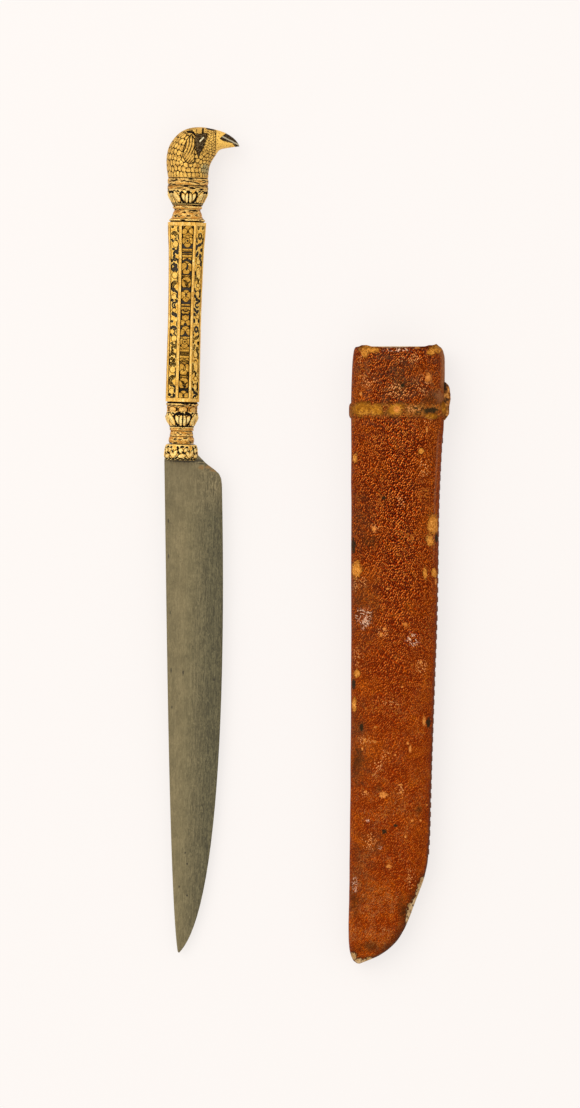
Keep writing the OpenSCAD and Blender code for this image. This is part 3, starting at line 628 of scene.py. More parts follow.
def scale_edge(turn, h):
    """Soft hanging lobes under the grip."""
    u = ((turn + 22.5) % 45 - 22.5) * 5.6 * math.pi / 180
    lobes = [
        ("raised", oval_at(u, h, 0, 0.7, 1.7, 1.1), 0.2),
        ("cut", oval_at(u, h, 2.2, 1.0, 0.34, 0.7), 0.12),
        ("cut", band_at(h, 3.3, 0.3), 0.1),
        ("bright", band_at(h, 2.75, 0.3), 0.8),
        ("groove", band_at(h, 2.1, 0.14), 0.08),
    ]
    return worn_strokes(turn, h, 0.05, 70, 12, lobes)


def bolster_line(radius, tall, neck):
    """Outline of the bolster, which swells and turns in to the neck."""
    turn_in = [(neck + 0.25 + (radius - neck - 0.25) * math.cos(a), tall - 2.2 + 2.2 * math.sin(a))
               for a in (0.4, 0.8, 1.2)]
    return ([(radius - 0.5, 0), (radius - 0.12, 0.35), (radius, 1.4), (radius, tall - 2.2)] + turn_in
            + [(neck + 0.1, tall)])


def lower_neck_line(radius, tall):
    """Outline of the lower neck: two beads with a waist between them."""
    return ([(radius, 0)] + bead(radius - 0.2, 0.25, 0.3, tall * 0.4)
            + [(radius - 0.4, tall * 0.62), (radius - 0.55, tall * 0.8)]
            + bead(radius - 0.5, 0.3, tall * 0.84, tall))


def lower_collar_line(low, high, tall):
    """Outline of the lower lotus collar, a cup that swells from the neck."""
    return ([(low - 0.2, 0)] + swell(low - 0.1, high, 0.3, tall * 0.78)
            + [(high - 0.05, tall * 0.86), (high - 0.2, tall * 0.94), (high - 0.45, tall)])


def lower_band_line(radius, tall):
    """Outline of the band under the grip: a hollow, a fillet and the black line above it."""
    return [
        (radius - 0.5, 0), (radius - 0.6, 0.6), (radius - 0.5, 1.5), (radius - 0.25, 2.2), (radius, 2.45),
        (radius, 3.1), (radius - 0.35, 3.25), (radius - 0.35, tall),
    ]


def upper_band_line(neck, tall):
    """Outline of the band over the grip, which draws in to the upper neck."""
    draw_in = [(neck + 0.55 + 1.2 * (1 - math.sin(a)), tall * (1 - 0.65 * math.cos(a)))
               for a in (0.35, 0.8, 1.2)]
    return ([(neck + 1.45, 0), (neck + 1.45, 0.33), (neck + 1.8, 0.46), (neck + 1.8, 1.0)] + draw_in
            + [(neck + 0.5, tall)])


def upper_neck_line(radius, tall):
    """Outline of the upper neck, with one bead."""
    return ([(radius + 0.5, 0), (radius + 0.15, tall * 0.2), (radius, tall * 0.4)]
            + bead(radius + 0.15, 0.5, tall * 0.52, tall * 0.84)
            + [(radius + 0.75, tall * 0.9), (radius + 0.8, tall)])


def upper_collar_line(neck, high, tall):
    """Outline of the upper lotus collar, a wider cup under the pommel ring."""
    return [(neck + 0.9, 0)] + swell(neck + 1.05, high - 0.05, 0.25, tall * 0.92) + [(high - 0.1, tall)]


def pommel_line(radius, tall):
    """Outline of the pommel ring, a double bead."""
    return (bead(radius - 0.25, 0.25, 0, tall * 0.46) + bead(radius - 0.25, 0.25, tall * 0.5, tall * 0.92)
            + [(radius - 0.25, tall)])


for node, start, outline, pattern, finish in (
    ("bolster", 0,
     bolster_line(bolster_r, bolster_h, lower_neck_r), bolster_leaves, gilt),
    ("lower_neck_ring", neck_y,
     lower_neck_line(lower_neck_r, lower_neck_h), lower_neck_lines, dark_gilt),
    ("lower_lotus_collar", lower_collar_y,
     lower_collar_line(lower_neck_r, lower_collar_r, lower_collar_h), lower_lotus, gilt),
    ("lower_grip_band", lower_band_y,
     lower_band_line(lower_collar_r, lower_band_h), scale_edge, dark_gilt),
    ("upper_grip_band", upper_band_y,
     upper_band_line(upper_neck_r, upper_band_h), upper_band_lines, dark_gilt),
    ("upper_neck_ring", upper_neck_y,
     upper_neck_line(upper_neck_r, upper_neck_h), upper_neck_lines, dark_gilt),
    ("upper_lotus_collar", upper_collar_y,
     upper_collar_line(upper_neck_r, pommel_r, upper_collar_h), upper_lotus, gilt),
    ("pommel_ring", pommel_y,
     pommel_line(pommel_r, pommel_h), pommel_lines, dark_gilt),
):
    ring = ring_form("chased_" + node, start, outline, pattern)
    ring.data.materials.append(finish)
    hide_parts(node)

# The grip: a long eight-sided sleeve with a sunk panel on each side. The panels hold a black
# ground, and gilt flowers, buds and crescents stand in it up to the level of the ribs.
# Half the width across two facets at stations up the grip
grip_shape = [(0, 6.0), (0.3, 5.95), (0.45, 5.9), (0.65, 6.05), (0.85, 6.32), (0.95, 6.75), (1, 6.85)]
rib_w, border_h, panel_depth, ground_t = 1.1, 1.3, 0.55, 0.25


def smooth_line(points, s):
    """Smooth curve through stations and values, the one that the solids follow."""
    points = np.asarray(points, float)
    x, y = points[:, 0], points[:, 1:]
    last = len(points) - 1
    slope = np.array([(y[min(i + 1, last)] - y[max(i - 1, 0)]) / (x[min(i + 1, last)] - x[max(i - 1, 0)])
                      for i in range(last + 1)])
    i = np.clip(np.searchsorted(x, s, "right") - 1, 0, last - 1)
    wide = x[i + 1] - x[i]
    t = ((s - x[i]) / wide)[:, None]
    wide = wide[:, None]
    return ((1 + 2 * t) * (1 - t) ** 2 * y[i] + t * (1 - t) ** 2 * wide * slope[i]
            + t * t * (3 - 2 * t) * y[i + 1] + t * t * (t - 1) * wide * slope[i + 1])


# One run of the work in each kind of panel. A stroke of the chaser is a gold dome, a black
# oval or a black bend, with its place across the face and down it, and its two half sizes
# and turn, or its radius, width and the angles that it runs between.
middle_run = [
    ("gold", 0.2, 0.8, 1.15, 0.85, 0), ("gold", -1.2, 2.1, 0.85, 0.95, 25),
    ("gold", 1.35, 2.0, 0.8, 1.05, -15), ("gold", 0.0, 4.2, 0.9, 0.85, 0),
    ("gold", -1.2, 5.5, 0.85, 1.0, 0), ("gold", 1.25, 5.5, 0.85, 1.0, 0),
    ("gold", 0.0, 6.9, 1.0, 0.85, 0), ("gold", 0.0, 5.5, 0.7, 0.7, 0), ("dot", 0.0, 5.5, 0.24, 0.24, 0),
    ("bend", 0.0, 4.5, 1.35, 0.46, 200, 345), ("bend", 0.0, 7.1, 1.35, 0.75, 15, 165),
    ("plate", 0.0, 9.0, 1.65, 0.6, 0), ("plate", 0.0, 10.4, 1.8, 1.05, 0),
    ("line", 0.0, 9.7, 1.5, 0.16, 0), ("line", 0.0, 10.35, 1.3, 0.1, 0),
    ("gold", -0.9, 12.1, 0.6, 0.5, 0), ("gold", 1.0, 12.1, 0.5, 0.5, 0),
    ("gold", 0.0, 13.1, 0.7, 0.45, 0), ("dot", -0.5, 12.5, 0.55, 0.3, -10),
    ("dot", 0.7, 12.6, 0.45, 0.3, -30), ("gold", -1.15, 14.9, 1.0, 1.35, 20),
    ("gold", 1.25, 15.0, 0.8, 1.3, -20), ("gold", -0.2, 16.7, 1.1, 0.95, 0),
    ("dot", 0.15, 15.2, 0.24, 0.75, 15), ("dot", -0.1, 18.0, 0.95, 0.4, 0),
    ("dot", -0.2, 18.4, 0.45, 0.6, 0),
]
lower_run = [
    ("gold", 0.1, 0.2, 0.7, 0.5, 0), ("gold", 0.0, 2.4, 1.65, 2.0, 0),
    ("bend", -2.2, 3.1, 2.0, 0.2, -60, 10), ("bend", -1.8, 3.6, 2.4, 0.2, -60, 5),
    ("bend", 2.6, 4.0, 2.4, 0.16, 180, 240), ("dot", 0.0, 4.6, 1.2, 0.52, 0),
    ("gold", 0.0, 5.7, 0.9, 0.6, 0), ("gold", -1.2, 7.0, 1.0, 1.15, 0), ("gold", 1.2, 7.1, 1.0, 1.2, 0),
    ("gold", 0.0, 8.6, 1.05, 0.95, 0), ("bend", 0.0, 8.5, 1.3, 0.6, 15, 165),
    ("dot", 0.0, 6.7, 0.3, 0.26, 0), ("plate", 0.0, 11.3, 1.75, 1.05, 0),
    ("gold", 0.0, 12.9, 1.25, 0.85, 0), ("line", 0.0, 10.9, 1.3, 0.12, 0),
    ("bend", 0.0, 11.6, 1.2, 0.16, 30, 150), ("gold", 0.0, 15.0, 1.15, 1.25, 0),
    ("bend", 0.0, 14.7, 0.8, 0.16, 200, 340), ("gold", -1.1, 16.9, 0.95, 0.85, 30),
    ("gold", 1.1, 16.9, 0.95, 0.85, -30), ("dot", 0.0, 17.5, 0.45, 0.4, 0),
]
edge_run = [
    ("dot", -1.0, 0.5, 0.45, 0.3, 0), ("dot", 1.6, 1.3, 0.3, 0.7, 0),
    ("bend", -0.1, 3.9, 1.4, 0.7, 205, 340), ("bend", -0.1, 4.5, 1.4, 0.6, 30, 165),
    ("dot", 1.75, 4.2, 0.32, 0.6, 0), ("bend", -0.1, 4.2, 0.75, 0.16, 250, 460),
    ("gold", 0.3, 6.7, 1.3, 1.15, 0), ("dot", 1.6, 8.2, 0.45, 1.0, 20),
    ("dot", -0.7, 8.5, 0.5, 0.32, 0), ("dot", 0.2, 9.4, 0.75, 0.4, -30),
    ("dot", 1.1, 9.9, 0.45, 0.42, 0), ("dot", -0.5, 10.1, 0.4, 0.5, 30),
    ("bend", 0.0, 11.8, 0.85, 0.3, 0, 290), ("dot", 0.0, 11.8, 0.26, 0.26, 0),
    ("dot", -1.4, 12.7, 0.4, 0.4, 0), ("dot", 1.5, 12.9, 0.34, 0.6, 0),
    ("dot", -0.2, 14.2, 0.5, 0.75, -35), ("dot", 0.6, 14.7, 0.5, 0.7, 30),
    ("dot", -0.4, 15.8, 0.85, 0.55, 0), ("dot", 0.9, 16.0, 0.5, 0.6, 10),
    ("bend", 0.0, 15.2, 1.6, 0.2, 110, 250), ("gold", 0.1, 18.0, 1.35, 1.2, 0),
    ("dot", 1.5, 19.4, 0.34, 0.6, 0), ("bend", 0.2, 22.1, 1.6, 0.72, 95, 315),
    ("bend", 0.4, 22.2, 0.85, 0.18, 80, 280), ("dot", 0.9, 24.0, 0.6, 0.34, 30),
    ("gold", -0.1, 25.9, 1.25, 1.1, 0), ("dot", 1.45, 25.4, 0.4, 0.7, 10),
    ("dot", -1.0, 27.1, 0.5, 0.4, 0), ("dot", 1.1, 27.4, 0.5, 0.45, 0),
    ("bend", 0.0, 28.9, 0.95, 0.3, 30, 320), ("dot", 0.1, 28.9, 0.28, 0.28, 0),
    ("gold", 0.0, 30.7, 0.95, 0.7, 0), ("dot", -0.4, 32.1, 0.75, 0.5, 20),
    ("dot", 0.8, 32.5, 0.55, 0.7, -20),
]
leaf_run = [
    ("dot", -1.1, 0.6, 0.4, 0.6, 0), ("dot", 1.3, 0.6, 0.35, 0.5, 0),
    ("bend", 0.1, 3.7, 0.85, 0.5, 0, 360), ("bend", -0.9, 5.1, 0.8, 0.46, 100, 240),
    ("bend", 1.0, 5.3, 0.9, 0.5, -70, 90), ("dot", 0.2, 6.8, 0.75, 0.42, -20),
    ("dot", -1.3, 7.8, 0.4, 0.75, 0), ("dot", 1.3, 8.7, 0.45, 0.5, 0),
    ("bend", 0.2, 7.6, 1.0, 0.3, 180, 330), ("dot", -0.9, 10.2, 0.45, 0.85, 30),
    ("dot", 0.9, 10.7, 0.45, 0.6, -30), ("gold", 0.0, 12.5, 1.2, 1.4, 15),
    ("bend", -1.2, 13.6, 2.6, 0.5, -60, 20), ("bend", 2.2, 16.8, 2.8, 0.4, 150, 220),
    ("gold", 0.2, 17.3, 1.05, 2.3, -6), ("dot", -1.5, 17.8, 0.34, 1.1, 0),
    ("bend", -0.6, 20.1, 0.95, 0.5, 180, 400), ("bend", -0.4, 22.9, 1.0, 0.5, 60, 200),
    ("gold", 0.3, 21.5, 0.9, 0.7, 0), ("dot", 1.4, 24.4, 0.34, 1.1, 0),
    ("gold", 0.1, 24.8, 0.95, 1.3, 10), ("dot", -1.1, 25.5, 0.6, 0.4, 30),
    ("dot", -0.2, 26.6, 0.5, 0.5, 0), ("dot", 1.0, 27.1, 0.6, 0.45, 20),
    ("bend", 0.2, 28.7, 0.85, 0.36, 20, 320), ("dot", -0.8, 30.5, 0.7, 0.42, 40),
    ("dot", 0.5, 31.1, 0.7, 0.42, -40), ("dot", -1.0, 32.1, 0.5, 0.45, 0),
    ("gold", 0.5, 32.9, 0.8, 0.7, 0),
]
# The sheets' steps along a panel and across it
sheet_long, sheet_wide = 470, 34
panel_long = grip_len - 2 * border_h
# How much fuller the raised shapes on open ground, and the cut shapes of the other panels, are
raised_fuller, cut_fuller = 0.13, 0.05


def coat(node, finish):
    """Gives its finish to a solid that is shown as it is."""
    nodes[node].data.materials.clear()
    nodes[node].data.materials.append(finish)


def relief_work(u, v, run, start):
    """The strokes of one run, laid on a panel from a start down it."""
    work = []
    for kind, x, y, *sizes in run:
        down = v - start - y
        if kind == "bend":
            radius, wide, low, high = sizes
            work.append(("cut", bent_at(u, down, x, 0, radius, wide, low, high), 0.2))
        elif kind in ("dot", "line"):
            work.append(("cut", oval_at(u, down, x, 0, *sizes), 0.2))
        elif kind == "plate":
            wide, tall, turn = sizes
            inside = np.minimum(wide - np.abs(u - x) - 0.25 * down, tall - np.abs(down))
            work.append(("raised", inside, 0.1))
        else:
            work.append(("raised", oval_at(u, down, x, 0, *sizes), 0.12))
    return work


def panel_sheet(side, runs, open_ground):
    """A closed gilt sheet in one panel, which stands on the black ground up to the ribs."""
    def place_at(along, around):
        # Round the section: over the top of the sheet, down one side, under it and up again
        step_round = np.rint(around * (sheet_wide + 3)).astype(int) % (sheet_wide + 3)
        under = step_round > sheet_wide
        share = np.where(under, np.where(step_round == sheet_wide + 1, 1.0, 0.0), step_round / sheet_wide)
        y = panel_top - along * panel_long
        face = smooth_line(grip_shape, (y - grip_y) / grip_len)[:, 0]
        limit = face * math.tan(math.radians(22.5)) - rib_w / 2 - 0.01
        u = (share * 2 - 1) * limit
        v = panel_top - y
        work = []
        for start, run in runs:
            work += relief_work(u, v, run, start)
        fuller_kind, fuller = ("raised", raised_fuller) if open_ground else ("cut", cut_fuller)
        work = [(kind, inside + fuller * (kind == fuller_kind), amount) for kind, inside, amount in work]
        rise, black, bright_gilt_and_highlight = chased(u, v, work)
        if open_ground:
            # Between the raised shapes the ground is cut away
            bare = np.ones_like(u)
            for kind, inside, amount in work:
                if kind == "raised":
                    bare = np.minimum(bare, np.clip(-inside / 0.12, 0, 1))
            rise, black = rise - 0.2 * bare, np.maximum(black, bare)
            bright_gilt_and_highlight = bright_gilt_and_highlight * 0.25
        sides = np.clip((limit - np.abs(u)) / 0.42, 0, 1)
        rise, black = rise * sides - 0.15 * (1 - sides), np.maximum(black, 1 - sides)
        ends = np.clip(np.minimum(v, panel_long - v) / 0.2, 0, 1)
        black = np.maximum(black, 0.9 * (1 - ends))
        w = face - panel_depth + ground_t + np.where(under, 0.0, 0.2 + rise)
        round_by = math.radians(grip_turn + 45 * side)
        c, s = math.cos(round_by), math.sin(round_by)
        return np.column_stack([u * c + w * s, y, w * c - u * s]), (black * ~under, bright_gilt_and_highlight * ~under)

    name = "gilt_relief_%d" % (side + 1)
    made = rolled_sheet(name, sheet_long, sheet_wide + 3, place_at, ("black", "bright_gilt_and_highlight"))
    made.data.materials.append(gold_leaf if open_ground else pale_leaf)
    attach(made, "knife")


gold_leaf = gilding(
    "gilt_relief", (1, 1, 1), (0.3, 0.12, 0.008), (0.5, 0.25, 0.028), (0.8, 0.46, 0.085), 0.4)
pale_leaf = gilding(
    "pale_gilt_relief", (1, 1, 1), (0.5, 0.2, 0.012), (0.88, 0.47, 0.06), (1.0, 0.74, 0.23), 0.4)
rib_gilt = gilding(
    "rib_gilt", (1.4, 0.4, 1.4), (0.5, 0.22, 0.02), (0.8, 0.45, 0.085), (1.0, 0.74, 0.28), 0.37)
niello, shader, spot = finish_with("black_ground")
dust = cloud(spot, 1.4, 4, 0.6)
plug_in(shader, Base_Color=ramp_of(dust, (0.4, (0.012, 0.009, 0.006)), (0.7, (0.05, 0.034, 0.018))),
        Roughness=0.6, Specular_IOR_Level=0.25)
raise_by(shader, dust, 0.05)
coat("grip_panel_grounds", niello)
coat("grip_sleeve", rib_gilt)

panel_top = grip_y + grip_len - border_h
middle_pitch, edge_pitch, leaf_pitch = 18.3, 34.3, 33.8
middle_runs = [(i * middle_pitch, lower_run if i % 2 else middle_run) for i in range(4)]
edge_runs = [(0, edge_run), (edge_pitch, edge_run)]
leaf_runs = [(0, leaf_run), (leaf_pitch, leaf_run)]
for side in range(8):
    if side % 2 == 0:
        panel_sheet(side, middle_runs, True)
    else:
        panel_sheet(side, edge_runs if side in (3, 7) else leaf_runs, False)

# The bird's head: raised from sheet and filled, with its feathers chased in rows that run
# from the pommel ring over the nape to the eye. The beak is left smooth, and the ridge of
# the beak and the cheeks take dark inlays.
# Stations from the pommel ring to the beak's point: the crown, the throat and half the width
head_rows = [
    (-7.3, 0, 7.25, 0, 7.2), (-7.9, 3.8, 7.4, 2.9, 7), (-8, 7.3, 7.95, 5.2, 6.7),
    (-7.3, 10.9, 8.8, 6.9, 6.5), (-5.6, 14, 9.8, 8.5, 6.3), (-3, 16.6, 10.4, 9.5, 6),
    (0.4, 18.1, 11, 10.2, 5.4), (4.6, 18.5, 11.9, 10.7, 4.8), (9.2, 17.8, 13.1, 11, 3.9),
    (13, 16.7, 14.7, 11.3, 2.9), (16, 14.95, 16.5, 11.6, 1.7), (17.5, 13.4, 17.8, 11.8, 0.9),
    (18.2, 12.3, 18.3, 11.85, 0.3),
]
# Outlines seen from the side: the beds of the inlays, and the parts with a pattern of their own
eye_outline = [
    (2.25, 15.6), (4.4, 16), (6.5, 16.15), (6.6, 15), (5.5, 11.4), (4.3, 8.8), (3.55, 7.3), (2.8, 9.4),
    (2.4, 12.1),
]
beak_outline = [
    (11.2, 14.35), (11.8, 15.1), (13.2, 16.3), (13.6, 18), (20, 15), (20, 11), (17.2, 11.2),
    (15.8, 12.9), (13.9, 13.3), (12.25, 13.7),
]
covert_outline = [
    (1.0, 15.6), (2.0, 13.6), (2.2, 11), (2.3, 8.4), (2.2, 5.8), (0.8, 4.8), (-0.9, 5.6), (-2.1, 7.4),
    (-2.0, 10), (-1.2, 12.6), (-0.2, 14.6),
]
crown_outline = [(1.6, 16.4), (2.4, 19), (7.2, 19), (6.8, 16.5), (4.5, 16.4)]
scroll_outline = [(6.9, 17.2), (9.6, 17.2), (9.7, 11.0), (7.5, 8.8), (5.2, 9.6), (6.2, 12.5)]
# The graver's lines over the eye and at the foot of the beak: both ends, half width, darkness
head_lines = [
    (-0.5, 16.6, 1.3, 16.4, 0.42, 1.0), (1.2, 16.3, 2.3, 15.3, 0.32, 1.0),
    (4.95, 16.1, 4.95, 17.8, 0.34, 1.0), (9.6, 17.4, 9.75, 14.5, 0.16, 0.6),
    (9.75, 14.5, 9.6, 11.2, 0.16, 0.5), (-0.6, 15.4, 0.6, 14.6, 0.18, 0.7),
    (6.4, 18.0, 9.0, 17.5, 0.36, 0.6), (2.6, 17.6, 2.6, 16.4, 0.2, 0.4),
]
head_long, head_round = 290, 330
feathers_round, feather_tall = 16, 1.9


def cells_at(u, v):
    """Uneven cells, one to a unit square: how far their edges and their corners lie from a place,
    and a random number for the cell it is in."""
    near = np.full((3, u.size), 9.0)
    lot = np.zeros_like(u)
    for j in (-1, 0, 1):
        row = np.floor(v) + j
        for i in (-2, -1, 0, 1):
            column = np.floor(u) + i
            draws = [np.sin(column * a + row * b) * 43758.5453 for a, b in ((127.1, 311.7), (269.5, 183.3))]
            first, second = (draw - np.floor(draw) for draw in draws)
            off_u = column + 0.5 + 0.5 * (row % 2) + 0.5 * (first - 0.5) - u
            far = np.hypot(off_u, row + 0.5 + 0.4 * (second - 0.5) - v)
            lot = np.where(far < near[0], first, lot)
            near = np.sort(np.vstack([near, far]), axis=0)[:3]
    return near[1] - near[0], near[2] - near[0], lot


def from_line(x, y, ax, ay, bx, by):
    """Distance of places from a straight line between two points."""
    run_x, run_y = bx - ax, by - ay
    t = np.clip(((x - ax) * run_x + (y - ay) * run_y) / (run_x ** 2 + run_y ** 2), 0, 1)
    return np.hypot(x - ax - t * run_x, y - ay - t * run_y)


def inside_of(x, y, outline):
    """Distance in millimetres inside a flat outline, below nought outside it."""
    corners = np.array(outline, float)
    near, odd = np.full(x.shape, 9.0), np.zeros(x.shape, bool)
    for (ax, ay), (bx, by) in zip(corners, np.roll(corners, -1, axis=0)):
        near = np.minimum(near, from_line(x, y, ax, ay, bx, by))
        odd ^= ((ay > y) != (by > y)) & (x < (bx - ax) * (y - ay) / (by - ay + 1e-12) + ax)
    return np.where(odd, near, -near)


def head_place(along, around):
    """Places on the head, with the blackness, the bright gilt and the green of each. The bright share is
    painted highlight in the middle of each feather and scroll, and the beak's own bright gilt.
    """
    rows = smooth_line([(i, *row) for i, row in enumerate(head_rows)], along * (len(head_rows) - 1))
    crown, throat, half = rows[:, 0:2], rows[:, 2:4], rows[:, 4]
    turn = around * 2 * math.pi
    cx = np.sign(np.cos(turn)) * np.abs(np.cos(turn)) ** (2 / 2.15)
    cz = np.sign(np.sin(turn)) * np.abs(np.sin(turn)) ** (2 / 2.15)
    middle, reach = (crown + throat) / 2, (throat - crown) / 2
    flat = middle + reach * cx[:, None]
    x, y, z = flat[:, 0], flat[:, 1], half * cz
    # Rows of feathers: so far round from the crown, and so far along from the ring
    fold = np.abs((around + 0.5) % 1 - 0.5) * 2
    columns = (1 - fold) * feathers_round
    stations = np.array(head_rows)
    spine = stations[:, 0:2] * 0.6 + stations[:, 2:4] * 0.4
    travel = np.concatenate([[0], np.cumsum(np.hypot(*np.diff(spine, axis=0).T))])
    run = np.interp(along * (len(head_rows) - 1), np.arange(len(head_rows)), travel)
    edge, corner, cell = cells_at(columns, run / feather_tall)
    patchy = np.array([noise.noise(Vector((a, b, c)) * 0.45) for a, b, c in zip(x, y, z)])
    groove = np.clip(1.3 - edge / 0.115, 0, 1)
    dots = np.clip(1.65 - corner / 0.18, 0, 1)
    rise = 0.03 * np.clip(edge / 0.4, 0, 1) - 0.1 * groove
    dots = dots * np.clip(1.2 + 1.2 * patchy, 0.5, 1)
    black = np.maximum(groove * np.clip(0.58 + 1.1 * patchy, 0.22, 0.9), dots)
    # A painted highlight in the middle of each feather, stronger on some feathers than others
    bright_gilt_and_highlight = np.clip(edge / 0.5 - 0.3, 0, 1) * (0.1 + 0.5 * cell)
    # The ear covert: long curved lines in a leaf shape behind the eye
    covert = inside_of(x, y, covert_outline)
    barbs = np.abs(((x * 0.9 - (y - 10) * 0.34 + 0.05 * (y - 10) ** 2 + 8) / 0.95) % 1 - 0.5) * 2
    share = np.clip(covert / 0.25, 0, 1)
    rise = rise * (1 - share) + share * (-0.06 * np.clip(3 * barbs - 2, 0, 1))
    black = black * (1 - share) + share * np.clip(4 * barbs - 2.4, 0, 1) * np.clip(0.7 + patchy, 0.3, 0.9)
    edge = np.clip(1.2 - np.abs(covert) / 0.2, 0, 1)
    rise, black, bright_gilt_and_highlight = rise - 0.06 * edge, np.maximum(black, edge * 0.6), bright_gilt_and_highlight * (1 - share)
    # The crown over the eye is plain, with a small stem and a brow line
    crown_plain = np.clip(inside_of(x, y, crown_outline) / 0.3, 0, 1)
    rise, black = rise * (1 - crown_plain), black * (1 - crown_plain)
    for ax, ay, bx, by, wide, dark in head_lines:
        line = np.clip(1.3 - from_line(x, y, ax, ay, bx, by) / wide, 0, 1)
        rise, black = rise - 0.1 * line, np.maximum(black, line * dark)
    # Scrolls between the eye and the beak
    scrolls = np.clip(inside_of(x, y, scroll_outline) / 0.3, 0, 1)
    bent_x, bent_y = x / 0.98 + 20 + 0.42 * np.sin(y * 1.9 + 1), y / 0.98 + 0.42 * np.sin(x * 1.8)
    edge, corner, cell = cells_at(bent_x, bent_y)
    curls = 0.12 - np.minimum(edge, 0.5 * corner + 0.04)
    curl = np.clip(curls / 0.1 + 0.3, 0, 1)
    rise = rise * (1 - scrolls) + scrolls * (0.04 - 0.1 * curl)
    black = black * (1 - scrolls) + scrolls * curl * 0.9
    bright_gilt_and_highlight = bright_gilt_and_highlight * (1 - scrolls) + scrolls * np.clip(-curls / 0.4, 0, 1) * cell
    # The beak is smooth, and the inlays' beds lie a little lower
    beak = np.clip((x - 9.75) / 0.25, 0, 1)
    rise, black, bright_gilt_and_highlight = rise * (1 - beak), black * (1 - beak), np.maximum(bright_gilt_and_highlight, beak * 0.9)
    foot = np.clip(1 - y / 0.5, 0, 1) * (x < 9)
    rise, black = rise * (1 - foot), black * (1 - foot)
    bed = np.maximum(np.clip(inside_of(x, y, eye_outline) / 0.05 + 1.4, 0, 1) * (np.abs(z) > 2.6),
                     np.clip(inside_of(x, y, beak_outline) / 0.05 + 1.0, 0, 1))
    green = np.clip(2.2 * (1 - np.hypot((x - 6.0) / 1.9, (y - 3.2) / 2.6)), 0, 1)
    # Outward from the ring's middle
    wide = np.hypot(*reach.T)
    out_flat = cx[:, None] * reach / wide[:, None] ** 2
    out_z = cz / half
    length = np.sqrt((out_flat ** 2).sum(1) + out_z ** 2)
    push = rise * (1 - bed) * np.clip(half / 3, 0, 1)
    shrink = 1 - 0.12 * bed
    sunk_x, sunk_y = middle[:, 0] + (x - middle[:, 0]) * shrink, middle[:, 1] + (y - middle[:, 1]) * shrink
    places = np.column_stack([
        sunk_x + push * out_flat[:, 0] / length, head_y + sunk_y + push * out_flat[:, 1] / length,
        z * shrink + push * out_z / length,
    ])
    return places, (np.clip(np.maximum(black, bed * 0.9), 0, 1), np.clip(bright_gilt_and_highlight, 0, 1), np.clip(green, 0, 1))


bird = gilding(
    "feathered_gilt", (0.8, 0.8, 0.8), (0.32, 0.14, 0.018), (0.62, 0.35, 0.07), (1.0, 0.6, 0.13), 0.42,
    (0.08, 0.42), "green")
head = rolled_sheet("feathered_head", head_long, head_round, head_place, ("black", "bright_gilt_and_highlight", "green"))
head.data.materials.append(bird)
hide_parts("bird_head")
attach(head, "knife")

# The inlays of the head: dark plates let into the cheeks, a bright slip in each for the eye,
# and a dark ridge and point on the beak, all filed flush with the gilt.
across_ridge, ridge_at = (0.447, 0.894, 0), 119.2
plate_tones = [(0.36, (0.008, 0.003, 0.001)), (0.54, (0.036, 0.018, 0.005)), (0.72, (0.12, 0.068, 0.02))]
dark_plate, shader, spot = finish_with("dark_inlay")
streak = cloud(stretched(spot, (0.6, 2.2, 1), (0, 0, math.radians(-35))), 1.2, 4, 0.6)
fine = cloud(spot, 3.0, 3, 0.6)
contour = abs(cloud(spot, 0.8, 3, 0.5) - 0.5)
# A pale streak runs along the middle of the beak's ridge
off_ridge = abs(vector_of("DOT_PRODUCT", spot, across_ridge, "Value") - ridge_at + streak * 0.6)
tone = laid_over(
    ramp_of(streak, *plate_tones),
    (ramp_of(contour, (0.004, 0.55), (0.016, 0.0)), (0.34, 0.25, 0.12)),
    (ramp_of(off_ridge, (0.1, 0.8), (0.34, 0.0)), (0.5, 0.44, 0.3)),
)
plug_in(shader, Base_Color=tone, Roughness=ramp_of(fine, (0.3, 0.3), (0.7, 0.5)), Specular_IOR_Level=0.05)
raise_by(shader, fine, 0.04)
bright_slip, shader, spot = finish_with("bright_inlay")
fine = cloud(spot, 3.0, 3, 0.6)
plug_in(shader, Base_Color=ramp_of(fine, (0.35, (0.55, 0.45, 0.22)), (0.6, (0.85, 0.76, 0.5))),
        Metallic=0.7, Roughness=0.3)
coat("eye_inlays", dark_plate)
coat("beak_tip", dark_plate)
coat("eye_slits", bright_slip)

# The sheath's cover: one piece of thick brown leather with a pressed grain of small pits,
# wrapped wet over the core and closed along the front edge. It is worn through to its
# tan layer at the mouth, the collar and the edges, and frayed along the lower front edge.
# Where its mouth is frayed out or worn back, and where its front has sunk, in millimetres
torn_mouth = [
    (21.2, 1.6, 0.55), (19.6, 0.7, 0.3), (46.2, 1.7, 0.6), (46.9, 0.6, 0.55), (44.0, 0.9, 0.35),
    (33, 6, -0.3), (28, 5, -0.2), (39.5, 1.5, -0.15),
]
hollows = [
    (38.5, 20, 5, 0.25), (24, -12, 5, 0.2), (40, -44, 6, 0.25), (22, -66, 6, 0.2), (36, -88, 7, 0.3),
    (25, -118, 7, 0.35), (34, -60, 4, 0.2), (30, 40, 8, 0.2), (21, 60, 4, 0.25), (41, 62, 4, 0.25),
]
mouth_y, foot_y, sheath_long = 72.05, -152, 224
cover = copy_of("sheath_leather", "grained_cover")
bpy.ops.object.mode_set(mode="EDIT")
bpy.ops.mesh.select_all(action="SELECT")
bpy.ops.mesh.tris_convert_to_quads(face_threshold=math.radians(60), shape_threshold=math.radians(60))
bpy.ops.object.mode_set(mode="OBJECT")
for kind in ("SIMPLE", "CATMULL_CLARK"):
    finer = cover.modifiers.new("finer", "SUBSURF")
    finer.subdivision_type = kind
    finer.levels = finer.render_levels = 1
    bpy.ops.object.modifier_apply(modifier="finer")
places = np.empty(len(cover.data.vertices) * 3)
cover.data.vertices.foreach_get("co", places)
